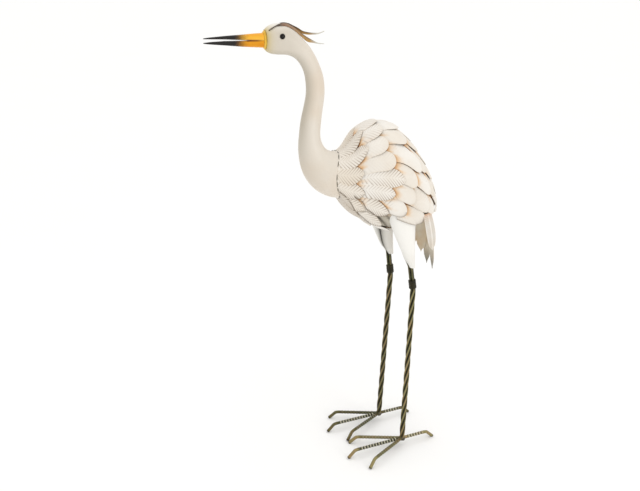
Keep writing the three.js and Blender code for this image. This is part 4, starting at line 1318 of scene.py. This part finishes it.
def weld_bead(side, word, paint):
    """Lump of weld that joins rods and toes at the ankle."""
    x, y, z = LEG_LINE[-1]
    rise = np.linspace(-math.pi / 2, math.pi / 2, 22)[1:-1, None]
    turn = circle(32)
    lumps = 1 + 0.09 * np.sin(3 * turn + side) * np.cos(rise) + 0.06 * np.sin(7 * turn + 4 * rise)
    ring = BEAD_RADIUS * lumps * np.cos(rise)
    height = z + BEAD_RISE + BEAD_HALF_HEIGHT * lumps * np.sin(rise)
    shape = Shape().add_tube(join(x + ring * np.cos(turn), side * y + ring * np.sin(turn), height))
    shape.piece(f"ankle_weld_{word}", paint, "bronze_rod", [])


SEAM_TACKS = 17
TACK_LENGTH = 3.2
TACK_LONGER = 4.5
TACK_HALF_WIDTH = 0.9
TACK_HEIGHT = 0.5
TACK_LIFT = 0.2


def seam_tacks(paint):
    """Small weld tacks along the seam between neck and body."""
    rise = np.linspace(-math.pi / 2, math.pi / 2, 9)[1:-1, None]
    turn = circle(12)
    wide = TACK_HALF_WIDTH * np.cos(rise) * np.cos(turn)
    high = TACK_HEIGHT * np.cos(rise) * np.sin(turn) + TACK_LIFT
    end = np.array(1.0)
    shape = Shape()
    for place in range(SEAM_TACKS):
        angle = np.array(2 * math.pi * (place + 0.6 * leaf_tone(4, place)) / SEAM_TACKS)
        length = TACK_LENGTH + TACK_LONGER * leaf_tone(3, place)
        centre = neck_points(end, angle)
        normal = normals_of(body_points, np.array(RIM_SHARE), angle)
        along = unit(neck_points(end, angle + 0.05) - centre)
        side = np.cross(normal, along)
        tack = along * (length * np.sin(rise))[..., None] + side * wide[..., None] + normal * high[..., None]
        shape.add_tube(centre + tack)
    shape.piece("seam_tacks", paint, "bronze_rod", [])


FLOOR_HALF = 60
SKY_COLOUR = (1.0, 0.99, 0.97, 1.0)
SKY_STRENGTH = 0.9
CEILING_STRENGTH = 0.55
CEILING_SPREAD = 70
KEY_PLACE = (1.2, -3.0, 1.3)
KEY_AIM = (0.0, 0.0, 0.6)
KEY_POWER = 13
KEY_COLOUR = (1.0, 0.985, 0.96)


def pale_floor():
    """Floor under the bird."""
    mesh = bpy.data.meshes.new("floor")
    corners = [(-1, -1), (1, -1), (1, 1), (-1, 1)]
    mesh.from_pydata([(FLOOR_HALF * x, FLOOR_HALF * y, 0) for x, y in corners], [], [(0, 1, 2, 3)])
    pale = Paint("floor_pale", 0.9)
    mesh.materials.append(pale.finish(pale.mix(pale.noise(2), (0.94, 0.94, 0.94), (0.96, 0.96, 0.96))))
    floor = in_scene("floor", mesh)


def studio():
    """Pale floor and soft light."""
    pale_floor()
    world = bpy.data.worlds.new("studio")
    bpy.context.scene.world = world
    world.use_nodes = True
    sky = world.node_tree.nodes["Background"].inputs
    sky["Color"].default_value = SKY_COLOUR
    sky["Strength"].default_value = SKY_STRENGTH
    ceiling = bpy.data.lights.new("ceiling", "SUN")
    ceiling.energy = CEILING_STRENGTH
    ceiling.angle = math.radians(CEILING_SPREAD)
    in_scene("ceiling", ceiling)
    key = bpy.data.lights.new("key", "AREA")
    key.size = 1.0
    key.energy = KEY_POWER
    key.color = KEY_COLOUR
    lamp = in_scene("key", key)
    lamp.location = KEY_PLACE
    lamp.rotation_euler = (Vector(KEY_AIM) - Vector(KEY_PLACE)).to_track_quat("-Z", "Y").to_euler()
    bpy.context.scene.view_settings.view_transform = "Standard"


CAMERA_PLACE = (-0.635, -1.3986, 1.074)
CAMERA_RIGHT = (0.917, -0.399, 0.0)
CAMERA_AHEAD = (0.3754, 0.8634, -0.3371)
CAMERA_LENS = 41.5
CAMERA_SENSOR = 36
CAMERA_CLIP_END = 200


def camera():
    """The camera at the photograph's angle."""
    data = bpy.data.cameras.new("camera")
    data.lens = CAMERA_LENS
    data.sensor_width = CAMERA_SENSOR
    data.clip_end = CAMERA_CLIP_END
    ahead = Vector(CAMERA_AHEAD).normalized()
    right = Vector(CAMERA_RIGHT).normalized()
    up = right.cross(ahead)
    made = in_scene("camera", data)
    made.matrix_world = Matrix((
        (right.x, up.x, -ahead.x, CAMERA_PLACE[0]),
        (right.y, up.y, -ahead.y, CAMERA_PLACE[1]),
        (right.z, up.z, -ahead.z, CAMERA_PLACE[2]),
        (0, 0, 0, 1),
    ))
    bpy.context.scene.camera = made


camera()
studio()
neck(cream_paint())
body_skin(skin_paint())
feathers(feather_paint())
bill = bill_paint()
mandible("beak_upper", UPPER_MANDIBLE, True, bill)
mandible("beak_lower", LOWER_MANDIBLE, False, bill)
collar(collar_paint())
crest = crest_paint()
plume(LEFT, "left", LEFT_PLUME, crest)
plume(RIGHT, "right", RIGHT_PLUME, crest)
tail = tail_paint()
for place, blade in enumerate(TAIL_BLADES):
    tail_blade(place, blade, tail)
enamel = eye_enamel()
thigh_white = thigh_paint()
bronze = bronze_rod()
weld = weld_scale()
for side, word in ((LEFT, "left"), (RIGHT, "right")):
    eye(side, word, enamel)
    thigh(side, word, thigh_white)
    leg(side, word, bronze)
    knee_wrap(side, word, bronze)
    for data in TOES:
        toe(side, word, data, bronze)
    weld_bead(side, word, weld)
seam_tacks(weld)
